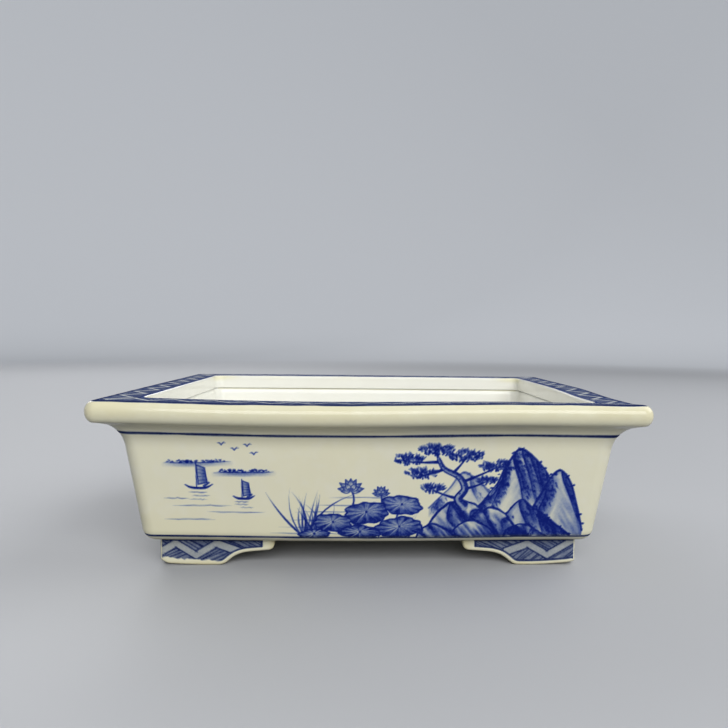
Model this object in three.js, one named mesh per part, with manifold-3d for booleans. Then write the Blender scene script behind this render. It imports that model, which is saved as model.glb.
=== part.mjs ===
// A rectangular porcelain bonsai pot, built the way a potter builds it from slabs.
// A floor slab stands on four bracket feet. Four mitred wall slabs stand on its edge, and four mitred
// rim strips lie on the walls' flared heads. All the pieces are luted face to face at flat seats.
// Millimetres, +Z up. The origin is on the table under the pot's centre, and the long side runs along X.
import * as THREE from 'three';
import { mergeVertices } from 'three/addons/utils/BufferGeometryUtils.js';
import Module from 'manifold-3d';

// Outline over the rim's nose.
const RIM_LENGTH = 260;
const RIM_DEPTH = 198;

// Heights of the four layers, from the table up.
const FOOT_HEIGHT = 13.7;
const FLOOR_THICKNESS = 7.3;
const WALL_HEIGHT = 54.2;
const RIM_THICKNESS = 8.8;

// Rim strip: a flat slab with a full nose outside and a soft edge round the opening.
const RIM_WIDTH = 21;
const NOSE_TOP_REACH = 4.6;
const NOSE_TOP_DROP = 5.1;
const NOSE_UNDERCUT = 1.6;
const RIM_CORNER = 6;
const OPENING_CORNER = 5;
const OPENING_EDGE_RADIUS = 1.2;

// Wall slab: it leans out towards the rim, and its head flares through a cove to carry the rim.
const WALL_SLOPE = 0.142;
const NECK_INSET = 11.7;
const HEAD_DROP = 4.4;
const COVE_FALL = 10;
const COVE_REACH = 6;
const COVE_FULLNESS = 0.6;
const WALL_THICKNESS = 9.2;
const WALL_CORNER = 8;
const INNER_CORNER = 7;
const INNER_FILLET = 4;

// No outline turns a corner more tightly than this, whatever is set around it.
const LEAST_CORNER = 1.2;

// Floor slab: its lower edge is rounded, and two lipped holes drain it.
const FLOOR_EDGE_RADIUS = 7.2;
const DRAIN_RADIUS = 9;
const DRAIN_LIP = 1.5;
const DRAIN_SPACING = 104;

// Bracket foot: two arms that meet at a corner, each with a flat pad, an ogee and a thin tail.
// It stands a little inside the flat of the floor's underside.
const FOOT_SETBACK = 0.8;
const FOOT_THICKNESS = 9;
const FRONT_ARM_LENGTH = 57;
const SIDE_ARM_LENGTH = 42;
const FRONT_PAD_LENGTH = 28.2;
const SIDE_PAD_LENGTH = 19.5;
const OGEE_LENGTH = 17;
const OGEE_TOE_REACH = 6.5;
const OGEE_HEEL_REACH = 5;
const OGEE_HEEL_DROP = 1.05;
const TAIL_THICKNESS = 6.7;
const TAIL_RISE = 0.7;
const TAIL_END_RADIUS = 3.6;
const FOOT_EDGE_RADIUS = 2;
const FOOT_CORNER = 2.4;

// Facets.
const CORNER_STEPS = 5;
const CURVE_STEPS = 8;
const DRAIN_STEPS = 40;
const CUT_OVERLAP = 1;

const floorUnder = FOOT_HEIGHT;
const floorTop = floorUnder + FLOOR_THICKNESS;
const rimSeat = floorTop + WALL_HEIGHT;
const rimTop = rimSeat + RIM_THICKNESS;

const wasm = await Module();
wasm.setup();

// A plain glazed white for every piece: the porcelain is slightly warm and has a soft gloss.
const glaze = (name) =>
  new THREE.MeshStandardMaterial({ name, color: 0xe6e3d2, roughness: 0.14, metalness: 0 });
const materials = {
  rim: glaze('rim_glaze'),
  wall: glaze('wall_glaze'),
  floor: glaze('floor_glaze'),
  foot: glaze('foot_glaze'),
};

// The four sides of the pot. along and out are the side's own directions, and half is its half length
// and its distance from the centre, both over the rim's nose.
const halfX = RIM_LENGTH / 2;
const halfY = RIM_DEPTH / 2;
const SIDES = {
  front: { along: [1, 0], out: [0, -1], half: [halfX, halfY] },
  right: { along: [0, 1], out: [1, 0], half: [halfY, halfX] },
  back: { along: [-1, 0], out: [0, 1], half: [halfX, halfY] },
  left: { along: [0, -1], out: [-1, 0], half: [halfY, halfX] },
};

// One side's part of a rounded rectangle: from the mitre in one corner to the mitre in the next.
// inset is the distance inside the rim's nose, and radius is the outline's corner radius there.
function sideOutline(side, inset, radius) {
  const { along, out, half } = SIDES[side];
  const centre = half.map((reach) => reach - inset - radius);
  const quarter = [];
  for (let i = 0; i <= CORNER_STEPS; i++) {
    const angle = (Math.PI / 4) * (i / CORNER_STEPS);
    const last = i === CORNER_STEPS;
    const sine = last ? Math.SQRT1_2 : Math.sin(angle);
    const cosine = last ? Math.SQRT1_2 : Math.cos(angle);
    quarter.push([centre[0] + radius * sine, centre[1] + radius * cosine]);
  }
  const mirrored = quarter.map(([s, d]) => [-s, d]).reverse();
  return [...mirrored, ...quarter].map(([s, d]) => [
    s * along[0] + d * out[0],
    s * along[1] + d * out[1],
  ]);
}

// A closed body from rows of points that all have the same length. Rows run round a loop or end in caps.
function skin(rows, loop, capTriangles) {
  const width = rows[0].length;
  const positions = new Float32Array(rows.flat(2));
  const index = [];
  const rowCount = loop ? rows.length : rows.length - 1;
  const columnCount = loop ? width - 1 : width;
  for (let i = 0; i < rowCount; i++) {
    for (let j = 0; j < columnCount; j++) {
      const a = i * width + j;
      const b = i * width + ((j + 1) % width);
      const c = ((i + 1) % rows.length) * width + j;
      const d = ((i + 1) % rows.length) * width + ((j + 1) % width);
      index.push(a, b, d, a, d, c);
    }
  }
  index.push(...capTriangles.flat());
  const geometry = new THREE.BufferGeometry();
  geometry.setAttribute('position', new THREE.BufferAttribute(positions, 3));
  geometry.setIndex(index);
  geometry.computeVertexNormals();
  return geometry;
}

// A mitred slab of one side. section is its closed outline as points of inset, height and corner radius,
// from the outside up, over and down the inside. Its ends are cut at 45 degrees.
function mitredSlab(side, section) {
  const rows = section.map(({ inset, z, radius }) =>
    sideOutline(side, inset, radius).map(([x, y]) => [x, y, z]));
  const width = rows[0].length;
  const contour = section.map(({ inset, z }) => new THREE.Vector2(-inset, z));
  const faces = THREE.ShapeUtils.triangulateShape(contour, []);
  const caps = faces.flatMap(([a, b, c]) => [
    [a * width, b * width, c * width],
    [a * width + width - 1, c * width + width - 1, b * width + width - 1],
  ]);
  return skin(rows, true, caps);
}

// The whole outline at one inset and height, anticlockwise from above.
function fullOutline({ inset, z, radius }) {
  return Object.keys(SIDES).flatMap((side) =>
    sideOutline(side, inset, radius).slice(0, -1).map(([x, y]) => [x, y, z]));
}

// Solid geometry in and out of the boolean library.
function toSolid(geometry) {
  const bare = new THREE.BufferGeometry();
  const source = geometry.index ? geometry.toNonIndexed() : geometry;
  bare.setAttribute('position', source.getAttribute('position').clone());
  const merged = mergeVertices(bare, 1e-4);
  return new wasm.Manifold(new wasm.Mesh({
    numProp: 3,
    vertProperties: merged.attributes.position.array,
    triVerts: new Uint32Array(merged.index.array),
  }));
}

function toGeometry(solid) {
  const mesh = solid.getMesh();
  const geometry = new THREE.BufferGeometry();
  geometry.setAttribute('position', new THREE.BufferAttribute(mesh.vertProperties, 3));
  geometry.setIndex(new THREE.BufferAttribute(mesh.triVerts, 1));
  return geometry.toNonIndexed();
}

// Points of a curve in the plane of inset and height, each with its plan corner radius.
function alongCurve(curve, steps, radiusAt) {
  return curve.getPoints(steps).map(({ x, y }) => ({ inset: x, z: y, radius: radiusAt(x) }));
}

function quarterEllipse(centreInset, centreZ, reach, rise, fromDegrees, toDegrees) {
  const from = THREE.MathUtils.degToRad(fromDegrees);
  const to = THREE.MathUtils.degToRad(toDegrees);
  return new THREE.EllipseCurve(centreInset, centreZ, reach, rise, from, to, to < from);
}

// The rim strip's section: the nose, the flat top, and the soft edge and face round the opening.
function rimSection() {
  const noseZ = rimTop - NOSE_TOP_DROP;
  const noseRadius = (inset) => Math.max(RIM_CORNER - inset, LEAST_CORNER);
  const openingRadius = (inset) => OPENING_CORNER + RIM_WIDTH - inset;
  const noseDrop = noseZ - rimSeat;
  const underNose = quarterEllipse(NOSE_UNDERCUT, noseZ, NOSE_UNDERCUT, noseDrop, 270, 180);
  const overNose = quarterEllipse(NOSE_TOP_REACH, noseZ, NOSE_TOP_REACH, NOSE_TOP_DROP, 180, 90);
  const softEdge = quarterEllipse(
    RIM_WIDTH - OPENING_EDGE_RADIUS, rimTop - OPENING_EDGE_RADIUS,
    OPENING_EDGE_RADIUS, OPENING_EDGE_RADIUS, 90, 0);
  return [
    ...alongCurve(underNose, CURVE_STEPS, noseRadius),
    ...alongCurve(overNose, CURVE_STEPS, noseRadius).slice(1),
    ...alongCurve(softEdge, CURVE_STEPS / 2, openingRadius),
    { inset: RIM_WIDTH, z: rimSeat, radius: OPENING_CORNER },
  ];
}

// How far inside the rim's nose the wall's outer face lies, below the cove.
const neckZ = rimSeat - HEAD_DROP;
const wallInset = (z) => NECK_INSET + (neckZ - z) * WALL_SLOPE;

// The cove between the wall face and the head's underside. It leaves the face long and gently, and turns
// tighter under the head. COVE_FULLNESS draws its handles towards the neck, where the two lines would meet.
function coveCurve() {
  const neck = new THREE.Vector2(NECK_INSET, neckZ);
  const towardsHead = new THREE.Vector2(NOSE_UNDERCUT, rimSeat).sub(neck).normalize();
  const towardsFloor = new THREE.Vector2(WALL_SLOPE, -1).normalize();
  const low = neck.clone().addScaledVector(towardsFloor, COVE_FALL);
  const high = neck.clone().addScaledVector(towardsHead, COVE_REACH);
  return new THREE.CubicBezierCurve(
    low, low.clone().lerp(neck, COVE_FULLNESS), high.clone().lerp(neck, COVE_FULLNESS), high);
}

// The wall slab's section: the leaning outer face, the cove, the head that flares out to the nose,
// the seat under the rim, the inner face, and a fillet down to the floor.
function wallSection() {
  const headRadius = Math.max(RIM_CORNER - NOSE_UNDERCUT, LEAST_CORNER);
  const outerRadius = (inset) => THREE.MathUtils.mapLinear(
    Math.min(inset, NECK_INSET), NOSE_UNDERCUT, NECK_INSET, headRadius, WALL_CORNER);
  const innerTop = wallInset(rimSeat) + WALL_THICKNESS;
  const filletTop = floorTop + INNER_FILLET;
  const innerFoot = wallInset(filletTop) + WALL_THICKNESS;
  const fillet = quarterEllipse(innerFoot + INNER_FILLET, filletTop, INNER_FILLET, INNER_FILLET, 180, 270);
  return [
    { inset: wallInset(floorTop), z: floorTop, radius: WALL_CORNER },
    ...alongCurve(coveCurve(), CURVE_STEPS, outerRadius),
    { inset: NOSE_UNDERCUT, z: rimSeat, radius: headRadius },
    { inset: innerTop, z: rimSeat, radius: INNER_CORNER },
    ...alongCurve(fillet, CURVE_STEPS / 2, () => INNER_CORNER),
  ];
}

// The floor slab: a rounded rectangle whose edge follows the walls and turns under, with the drain holes cut.
function floorSlab() {
  const edgeInset = wallInset(floorUnder + FLOOR_EDGE_RADIUS);
  const turnedUnder = quarterEllipse(
    edgeInset + FLOOR_EDGE_RADIUS, floorUnder + FLOOR_EDGE_RADIUS,
    FLOOR_EDGE_RADIUS, FLOOR_EDGE_RADIUS, 270, 180);
  const cornerRadius = (inset) => Math.max(WALL_CORNER - (inset - edgeInset), LEAST_CORNER);
  const edge = [
    ...alongCurve(turnedUnder, CURVE_STEPS, cornerRadius),
    { inset: wallInset(floorTop), z: floorTop, radius: WALL_CORNER },
  ];
  const rows = edge.map(fullOutline);
  const width = rows[0].length;
  const capOf = (row) => THREE.ShapeUtils.triangulateShape(row.map(([x, y]) => new THREE.Vector2(x, y)), []);
  const lastRow = (rows.length - 1) * width;
  const caps = [
    ...capOf(rows[0]).map(([a, b, c]) => [a, c, b]),
    ...capOf(rows.at(-1)).map(([a, b, c]) => [a + lastRow, b + lastRow, c + lastRow]),
  ];
  const slab = toSolid(skin(rows, false, caps));
  const drains = [-1, 1].map((side) => toSolid(drainCutter().translate(side * DRAIN_SPACING / 2, 0, 0)));
  return toGeometry(drains.reduce((solid, drain) => solid.subtract(drain), slab));
}

// The space of one drain hole, with a rounded lip at both faces of the floor.
function drainCutter() {
  const profile = [new THREE.Vector2(0, floorUnder - CUT_OVERLAP)];
  profile.push(new THREE.Vector2(DRAIN_RADIUS + DRAIN_LIP, floorUnder - CUT_OVERLAP));
  const lips = [
    quarterEllipse(DRAIN_RADIUS + DRAIN_LIP, floorUnder + DRAIN_LIP, DRAIN_LIP, DRAIN_LIP, 270, 180),
    quarterEllipse(DRAIN_RADIUS + DRAIN_LIP, floorTop - DRAIN_LIP, DRAIN_LIP, DRAIN_LIP, 180, 90),
  ];
  lips.forEach((lip) => profile.push(...lip.getPoints(CURVE_STEPS / 2)));
  profile.push(new THREE.Vector2(DRAIN_RADIUS + DRAIN_LIP, floorTop + CUT_OVERLAP));
  profile.push(new THREE.Vector2(0, floorTop + CUT_OVERLAP));
  return new THREE.LatheGeometry(profile, DRAIN_STEPS).rotateX(Math.PI / 2);
}

// One arm of a foot seen from outside: it runs from the pot's corner along the wall, and stands on its pad.
// The ogee leaves the pad's end flat, climbs steeply, and turns over into the underside of the tail.
function armElevation(length, padEnd) {
  const tailUnder = FOOT_HEIGHT - TAIL_THICKNESS;
  const tailStart = padEnd + OGEE_LENGTH;
  const tailEndZ = tailUnder + TAIL_RISE;
  const shape = new THREE.Shape();
  shape.moveTo(0, FOOT_HEIGHT);
  shape.lineTo(0, FOOT_EDGE_RADIUS);
  shape.quadraticCurveTo(0, 0, FOOT_EDGE_RADIUS, 0);
  shape.lineTo(padEnd, 0);
  shape.bezierCurveTo(
    padEnd + OGEE_TOE_REACH, 0,
    padEnd + OGEE_HEEL_REACH, tailUnder - OGEE_HEEL_DROP,
    tailStart, tailUnder);
  shape.lineTo(length - TAIL_END_RADIUS, tailEndZ);
  shape.quadraticCurveTo(length, tailEndZ, length, tailEndZ + TAIL_END_RADIUS);
  shape.lineTo(length, FOOT_HEIGHT);
  shape.closePath();
  return shape;
}

// A bracket foot with its outer corner at the origin and its arms along +X and +Y.
function bracketFoot() {
  const extrusion = { depth: FOOT_THICKNESS, bevelEnabled: false, curveSegments: CURVE_STEPS };
  const frontArm = new THREE.ExtrudeGeometry(armElevation(FRONT_ARM_LENGTH, FRONT_PAD_LENGTH), extrusion)
    .rotateX(Math.PI / 2)
    .translate(0, FOOT_THICKNESS, 0);
  const sideArm = new THREE.ExtrudeGeometry(armElevation(SIDE_ARM_LENGTH, SIDE_PAD_LENGTH), extrusion)
    .rotateX(Math.PI / 2)
    .rotateZ(Math.PI / 2);
  const plan = new THREE.Shape();
  plan.moveTo(FOOT_CORNER, 0);
  plan.lineTo(FRONT_ARM_LENGTH, 0);
  plan.lineTo(FRONT_ARM_LENGTH, SIDE_ARM_LENGTH);
  plan.lineTo(0, SIDE_ARM_LENGTH);
  plan.lineTo(0, FOOT_CORNER);
  plan.quadraticCurveTo(0, 0, FOOT_CORNER, 0);
  const roundedCorner = new THREE.ExtrudeGeometry(
    plan, { depth: FOOT_HEIGHT, bevelEnabled: false, curveSegments: CURVE_STEPS / 2 });
  return toGeometry(toSolid(frontArm).add(toSolid(sideArm)).intersect(toSolid(roundedCorner)));
}

const pot = new THREE.Group();
pot.name = 'bonsai_pot';

function addPiece(name, geometry, material) {
  const piece = new THREE.Mesh(geometry, material);
  piece.name = name;
  pot.add(piece);
  return piece;
}

addPiece('floor_slab', floorSlab(), materials.floor);
for (const side of Object.keys(SIDES)) {
  addPiece(`wall_${side}`, mitredSlab(side, wallSection()), materials.wall);
  addPiece(`rim_${side}`, mitredSlab(side, rimSection()), materials.rim);
}
const footInset = wallInset(floorUnder + FLOOR_EDGE_RADIUS) + FLOOR_EDGE_RADIUS + FOOT_SETBACK;
for (const [depthName, ySign] of [['front', 1], ['back', -1]]) {
  for (const [sideName, xSign] of [['left', 1], ['right', -1]]) {
    const foot = addPiece(`foot_${depthName}_${sideName}`, bracketFoot(), materials.foot);
    foot.position.set(-xSign * (halfX - footInset), -ySign * (halfY - footInset), 0);
    foot.scale.set(xSign, ySign, 1);
  }
}

export default pot;
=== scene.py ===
import math

import bpy
import numpy as np
from mathutils import Matrix, Vector
from mathutils.geometry import delaunay_2d_cdt


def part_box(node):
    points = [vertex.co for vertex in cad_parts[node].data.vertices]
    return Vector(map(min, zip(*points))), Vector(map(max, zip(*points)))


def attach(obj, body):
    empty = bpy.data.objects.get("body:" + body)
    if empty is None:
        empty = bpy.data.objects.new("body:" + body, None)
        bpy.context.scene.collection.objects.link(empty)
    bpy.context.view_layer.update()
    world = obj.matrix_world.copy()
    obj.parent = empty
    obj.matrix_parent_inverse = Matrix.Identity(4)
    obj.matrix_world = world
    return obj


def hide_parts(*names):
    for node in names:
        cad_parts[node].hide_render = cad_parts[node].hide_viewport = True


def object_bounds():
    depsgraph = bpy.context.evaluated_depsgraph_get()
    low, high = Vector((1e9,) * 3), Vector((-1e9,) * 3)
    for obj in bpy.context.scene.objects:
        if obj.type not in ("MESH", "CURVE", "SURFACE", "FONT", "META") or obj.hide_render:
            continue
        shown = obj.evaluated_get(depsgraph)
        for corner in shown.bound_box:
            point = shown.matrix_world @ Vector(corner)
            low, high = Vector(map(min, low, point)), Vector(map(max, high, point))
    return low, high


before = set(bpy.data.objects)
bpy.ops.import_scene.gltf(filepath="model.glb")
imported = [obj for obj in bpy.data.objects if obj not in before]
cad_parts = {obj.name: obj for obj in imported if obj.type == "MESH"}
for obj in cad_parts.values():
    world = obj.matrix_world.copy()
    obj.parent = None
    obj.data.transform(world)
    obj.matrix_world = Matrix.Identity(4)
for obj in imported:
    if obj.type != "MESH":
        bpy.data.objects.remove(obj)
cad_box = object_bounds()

# A rectangular porcelain bonsai pot, glazed over hand painted cobalt, on a plain pale floor.
# Lengths are in millimetres until a mesh is made. The front wall faces -Y.
MM = 0.001
SEED = 11

# Overall sizes and layer heights, from the frame.
LENGTH, DEPTH, RIM_TOP = (cad_box[1] - cad_box[0]) / MM
FLOOR_UNDER, FLOOR_TOP = (corner.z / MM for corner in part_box("floor_slab"))
RIM_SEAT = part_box("rim_front")[0].z / MM

# Rim: a full nose outside that hangs a little below its seat, a flat top, and a soft edge round the opening.
RIM_WIDTH = 21
NOSE_REACH = 4.6
NOSE_DROP = 5.1
NOSE_UNDERCUT = 3.4
NOSE_HANG = 1.4
NOSE_PULL = 0.45
NOSE_CORNER = 6
FLAT_CORNER = 3.4
OPENING_CORNER = 5
OPENING_EDGE = 1.3
SEAM_DEPTH = 0.6

# Wall: a leaning face, and a cove that carries it out to the rim.
WALL_SLOPE = 0.142
NECK_INSET = 11.7
NECK_Z = RIM_SEAT - 4.4
COVE_FALL = 10
COVE_REACH = 6
COVE_FULLNESS = 0.6
WALL_THICKNESS = 9.2
WALL_CORNER = 8
INNER_CORNER = 7
INNER_FILLET = 4

# Floor: a rounded lower edge and two lipped drain holes.
FLOOR_EDGE = 7.2
LEAST_CORNER = 1.2
DRAIN_RADIUS = 9
DRAIN_LIP = 1.5
DRAIN_PLACE = 52
DRAIN_SIDES = 56

# Feet: L-shaped brackets with a pad, an ogee and a thin tail.
FOOT_THICKNESS = 9
FOOT_EDGE = 1.3
FOOT_CORNER = 2.4
OGEE_LENGTH = 17
OGEE_TOE_REACH = 6.5
OGEE_HEEL_REACH = 5
OGEE_HEEL_DROP = 1.05
TAIL_UNDER = 7
TAIL_RISE = 0.7
TAIL_END = 3.6
FRONT_PAD = 28.2
SIDE_PAD = 19.5
FACE_ROWS = 26
EDGE_ROWS = 5

# Painted faces are divided this finely, and a sliver beside each joint keeps the shading smooth.
PAINT_STEP = 0.41
SLIVER = 0.03
CORNER_STEPS = 12

SIDES = {
    "front": {"along": (1, 0), "out": (0, -1), "half": (LENGTH / 2, DEPTH / 2)},
    "right": {"along": (0, 1), "out": (1, 0), "half": (DEPTH / 2, LENGTH / 2)},
    "back": {"along": (-1, 0), "out": (0, 1), "half": (LENGTH / 2, DEPTH / 2)},
    "left": {"along": (0, -1), "out": (-1, 0), "half": (DEPTH / 2, LENGTH / 2)},
}


# Curves in the plane of inset (how far inside the rim's nose) and height.

def wall_inset(z):
    return NECK_INSET + (NECK_Z - z) * WALL_SLOPE


def line(start, end, step):
    count = max(1, round(math.dist(start, end) / step))
    return np.linspace(start, end, count + 1)


def arc(centre, radii, start, end, step):
    """Part of a circle, or of an ellipse where radii has two values. The angles are in degrees."""
    span = math.radians(abs(end - start)) * np.mean(radii)
    angles = np.radians(np.linspace(start, end, max(2, round(span / step)) + 1))
    return np.array(centre) + np.stack([np.cos(angles), np.sin(angles)], 1) * radii


def bezier(points, step):
    a, b, c, d = (np.array(p, float) for p in points)
    count = max(2, round(math.dist(points[0], points[3]) / step))
    t = np.linspace(0, 1, count + 1)[:, None]
    return a * (1 - t) ** 3 + 3 * b * t * (1 - t) ** 2 + 3 * c * t**2 * (1 - t) + d * t**3


def chain(*parts):
    """Curves joined end to end, with a sliver beside both ends."""
    path = np.concatenate([parts[0], *(part[1:] for part in parts[1:])])
    first = path[0] + (path[1] - path[0]) * SLIVER
    last = path[-1] + (path[-2] - path[-1]) * SLIVER
    return np.concatenate([path[:1], [first], path[1:-1], [last], path[-1:]])


def lower_edge():
    lean = math.atan(WALL_SLOPE)
    touch_z = FLOOR_UNDER + FLOOR_EDGE * (1 - math.sin(lean))
    centre = (wall_inset(touch_z) + FLOOR_EDGE * math.cos(lean), FLOOR_UNDER + FLOOR_EDGE)
    turned = arc(centre, FLOOR_EDGE, 270, 180 + math.degrees(lean), PAINT_STEP)
    return chain(turned, line(turned[-1], (wall_inset(FLOOR_TOP), FLOOR_TOP), PAINT_STEP))


def wall_face():
    neck = np.array([NECK_INSET, NECK_Z])
    head = np.array([NOSE_UNDERCUT, RIM_SEAT - NOSE_HANG])
    to_head = head - neck
    to_floor = np.array([WALL_SLOPE, -1]) / math.hypot(WALL_SLOPE, 1)
    low = neck + to_floor * COVE_FALL
    high = neck + to_head / np.linalg.norm(to_head) * COVE_REACH
    cove = bezier([low, low + (neck - low) * COVE_FULLNESS, high + (neck - high) * COVE_FULLNESS, high],
                  PAINT_STEP)
    face = line((wall_inset(FLOOR_TOP), FLOOR_TOP), low, PAINT_STEP)
    return chain(face, cove, line(high, head, 2 * PAINT_STEP))


def wall_inside():
    inset = wall_inset(RIM_SEAT) + WALL_THICKNESS
    seam = [(inset - SEAM_DEPTH, RIM_SEAT), (inset - SEAM_DEPTH / 3, RIM_SEAT - SEAM_DEPTH)]
    foot = wall_inset(FLOOR_TOP + INNER_FILLET) + WALL_THICKNESS
    centre = (foot + INNER_FILLET, FLOOR_TOP + INNER_FILLET)
    fillet = arc(centre, INNER_FILLET, 180, 270, 2 * PAINT_STEP)
    below = (wall_inset(RIM_SEAT - 2 * SEAM_DEPTH) + WALL_THICKNESS, RIM_SEAT - 2 * SEAM_DEPTH)
    return chain(np.array([*seam, below]), line(below, fillet[0], 6 * PAINT_STEP), fillet)


def rim_nose():
    nose_z = RIM_TOP - NOSE_DROP
    under_z = RIM_SEAT - NOSE_HANG
    under = bezier([(NOSE_UNDERCUT, under_z), (NOSE_PULL * NOSE_UNDERCUT, under_z),
                    (0, NOSE_PULL * nose_z + (1 - NOSE_PULL) * under_z), (0, nose_z)], PAINT_STEP)
    over = arc((NOSE_REACH, nose_z), (NOSE_REACH, NOSE_DROP), 180, 90, PAINT_STEP)
    return chain(under, over)


def rim_flat():
    return line((NOSE_REACH, RIM_TOP), (RIM_WIDTH - OPENING_EDGE, RIM_TOP), PAINT_STEP)[1:-1]


def rim_opening():
    centre = (RIM_WIDTH - OPENING_EDGE, RIM_TOP - OPENING_EDGE)
    soft = arc(centre, OPENING_EDGE, 90, 0, 0.6 * PAINT_STEP)
    lip_centre = (RIM_WIDTH - SEAM_DEPTH, RIM_SEAT + SEAM_DEPTH)
    lip = arc(lip_centre, SEAM_DEPTH, 0, -60, PAINT_STEP / 2)
    end = [(wall_inset(RIM_SEAT) + WALL_THICKNESS - SEAM_DEPTH, RIM_SEAT)]
    return chain(soft, line(soft[-1], lip[0], 2 * PAINT_STEP), lip, np.array([lip[-1], *end]))


# Plan corner radius of an outline at an inset, for each kind of face.

def nose_radius(inset):
    return max(NOSE_CORNER - inset, FLAT_CORNER)


def flat_radius(inset):
    share = (inset - NOSE_REACH) / (RIM_WIDTH - NOSE_REACH)
    return nose_radius(NOSE_REACH) + share * (OPENING_CORNER - nose_radius(NOSE_REACH))


def opening_radius(inset):
    return OPENING_CORNER + RIM_WIDTH - inset


def wall_radius(inset):
    share = (min(inset, NECK_INSET) - NOSE_UNDERCUT) / (NECK_INSET - NOSE_UNDERCUT)
    return nose_radius(NOSE_UNDERCUT) + share * (WALL_CORNER - nose_radius(NOSE_UNDERCUT))


def inner_radius(inset):
    return INNER_CORNER


def floor_radius(inset):
    return max(WALL_CORNER - (inset - wall_inset(FLOOR_UNDER + FLOOR_EDGE)), LEAST_CORNER)


def side_rows(side, profile, radius_at):
    """One side's face: a row of points from mitre to mitre for each point of its profile.
    Returns the points and, for the painter, each point's distance along the side."""
    along, out = (np.array(SIDES[side][k], float) for k in ("along", "out"))
    half = SIDES[side]["half"]
    count = round(2 * (half[0] - RIM_WIDTH) / PAINT_STEP)
    straight = np.linspace(-1, 1, count + 1)
    turn = np.radians([*np.linspace(0, 45, CORNER_STEPS + 1)[1:-1], 45 - SLIVER * 10, 45])
    points, distances = [], []
    for inset, z in profile:
        radius = radius_at(inset)
        centre = [reach - inset - radius for reach in half]
        s = centre[0] * straight
        bend = centre[0] + radius * np.sin(turn)
        s_all = np.concatenate([-bend[::-1], s, bend])
        bend_out = centre[1] + radius * np.cos(turn)
        o_all = np.concatenate([bend_out[::-1], np.full(len(s), centre[1] + radius), bend_out])
        xy = s_all[:, None] * along + o_all[:, None] * out
        points.append(np.column_stack([xy, np.full(len(xy), z)]))
        reach = centre[0] + radius * turn
        distances.append(np.concatenate([-reach[::-1], s, reach]))
    return np.array(points), np.array(distances)


# Noise for the handmade form and for brush work.

def lattice(i, j, seed):
    value = np.sin(i * 127.1 + j * 311.7 + seed * 74.7) * 43758.5453
    return value - np.floor(value)


def ease(value):
    value = np.clip(value, 0, 1)
    return value * value * (3 - 2 * value)


def noise(x, y, scale, seed):
    """Smooth noise from 0 to 1 whose features are about scale wide."""
    x, y = np.asarray(x, float) / scale, np.asarray(y, float) / scale
    i, j = np.floor(x), np.floor(y)
    u, v = ease(x - i), ease(y - j)
    low = lattice(i, j, seed) * (1 - u) + lattice(i + 1, j, seed) * u
    high = lattice(i, j + 1, seed) * (1 - u) + lattice(i + 1, j + 1, seed) * u
    return low * (1 - v) + high * v


def streaks(x, y, angle, length, width, seed):
    """Noise drawn out along a direction, as a dry brush leaves it."""
    c, s = math.cos(math.radians(angle)), math.sin(math.radians(angle))
    return noise((x * c + y * s) * width / length, y * c - x * s, width, seed)


def soft_edge(depth, blur):
    """1 where depth is above 0 and 0 where it is below, with a blur this wide between them."""
    return np.clip(0.5 + depth / blur, 0, 1)


def heading(angle):
    return np.array([math.cos(angle), math.sin(angle)])


def closed(outline):
    return np.concatenate([outline, outline[:1]])


def smooth(points, steps=6):
    """A soft curve through given points."""
    p = np.asarray(points, float)
    p = np.concatenate([[2 * p[0] - p[1]], p, [2 * p[-1] - p[-2]]])
    t = np.linspace(0, 1, steps, endpoint=False)[:, None]
    parts = []
    for a, b, c, d in zip(p, p[1:], p[2:], p[3:]):
        bend = (2 * a - 5 * b + 4 * c - d) * t**2 + (3 * b - a - 3 * c + d) * t**3
        parts.append(0.5 * (2 * b + (c - a) * t + bend))
    return np.concatenate([*parts, p[-2:-1]])


# Slab-built clay isn't quite true. Every piece follows one gentle warp that stays inside the true size: the
# front sags between its corners, the back rises a little, the front rim's inner edge dips to the right, and
# the body stands a little to the left of the rim.
SHRINK = 0.0012
WAVER, WAVER_SIZE = 0.24, 46
UNEVEN, UNEVEN_SIZE = 0.2, 60
LOWER = 0.03
SAG_CENTRE_FLOOR, SAG_CENTRE_RIM = -6, -34
SAG_FLOOR, SAG_RIM = 1.05, 1.3
SAG_REACH = 105
BACK_CROWN = 0.35
RIM_TILT = 0.0018
BODY_SHIFT = 0.4
LIP_DIP, LIP_DIP_SHARE, LIP_DIP_REACH = 1.2, 0.47, 60


def handmade(points):
    x, y, z = points[..., 0], points[..., 1], points[..., 2]
    up = np.clip((z - FLOOR_UNDER) / (RIM_TOP - FLOOR_UNDER), 0, 1)
    low = np.clip(z / FLOOR_UNDER, 0, 1)
    front = np.clip(0.5 - y / DEPTH, 0, 1)
    centre = SAG_CENTRE_FLOOR * (1 - up) + SAG_CENTRE_RIM * up
    middle = np.clip(1 - ((x - centre) / SAG_REACH) ** 2, 0, 1) ** 2
    sag = middle * front * (SAG_FLOOR * low + (SAG_RIM - SAG_FLOOR) * up)
    crown = BACK_CROWN * middle * (1 - front) * up
    dip = LIP_DIP * (LIP_DIP_SHARE + x / LENGTH)
    dip = dip * ease((y + DEPTH / 2) / RIM_WIDTH) * ease(-y / LIP_DIP_REACH) * up
    sunk = LOWER + UNEVEN * noise(x, y, UNEVEN_SIZE, 5) + RIM_TILT * (x + LENGTH / 2)
    waver = np.stack([noise(y, z, WAVER_SIZE, 3) - 0.5, noise(x, z, WAVER_SIZE, 4) - 0.5], -1)
    warped = points.copy()
    warped[..., :2] *= 1 - SHRINK * up[..., None] ** 0.5
    warped[..., :2] += WAVER * waver * up[..., None]
    warped[..., 0] -= BODY_SHIFT * np.clip((RIM_SEAT - z) / NOSE_DROP, 0, 1)
    warped[..., 2] += crown - sag - np.maximum(dip, 0) - up * sunk
    return warped


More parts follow.
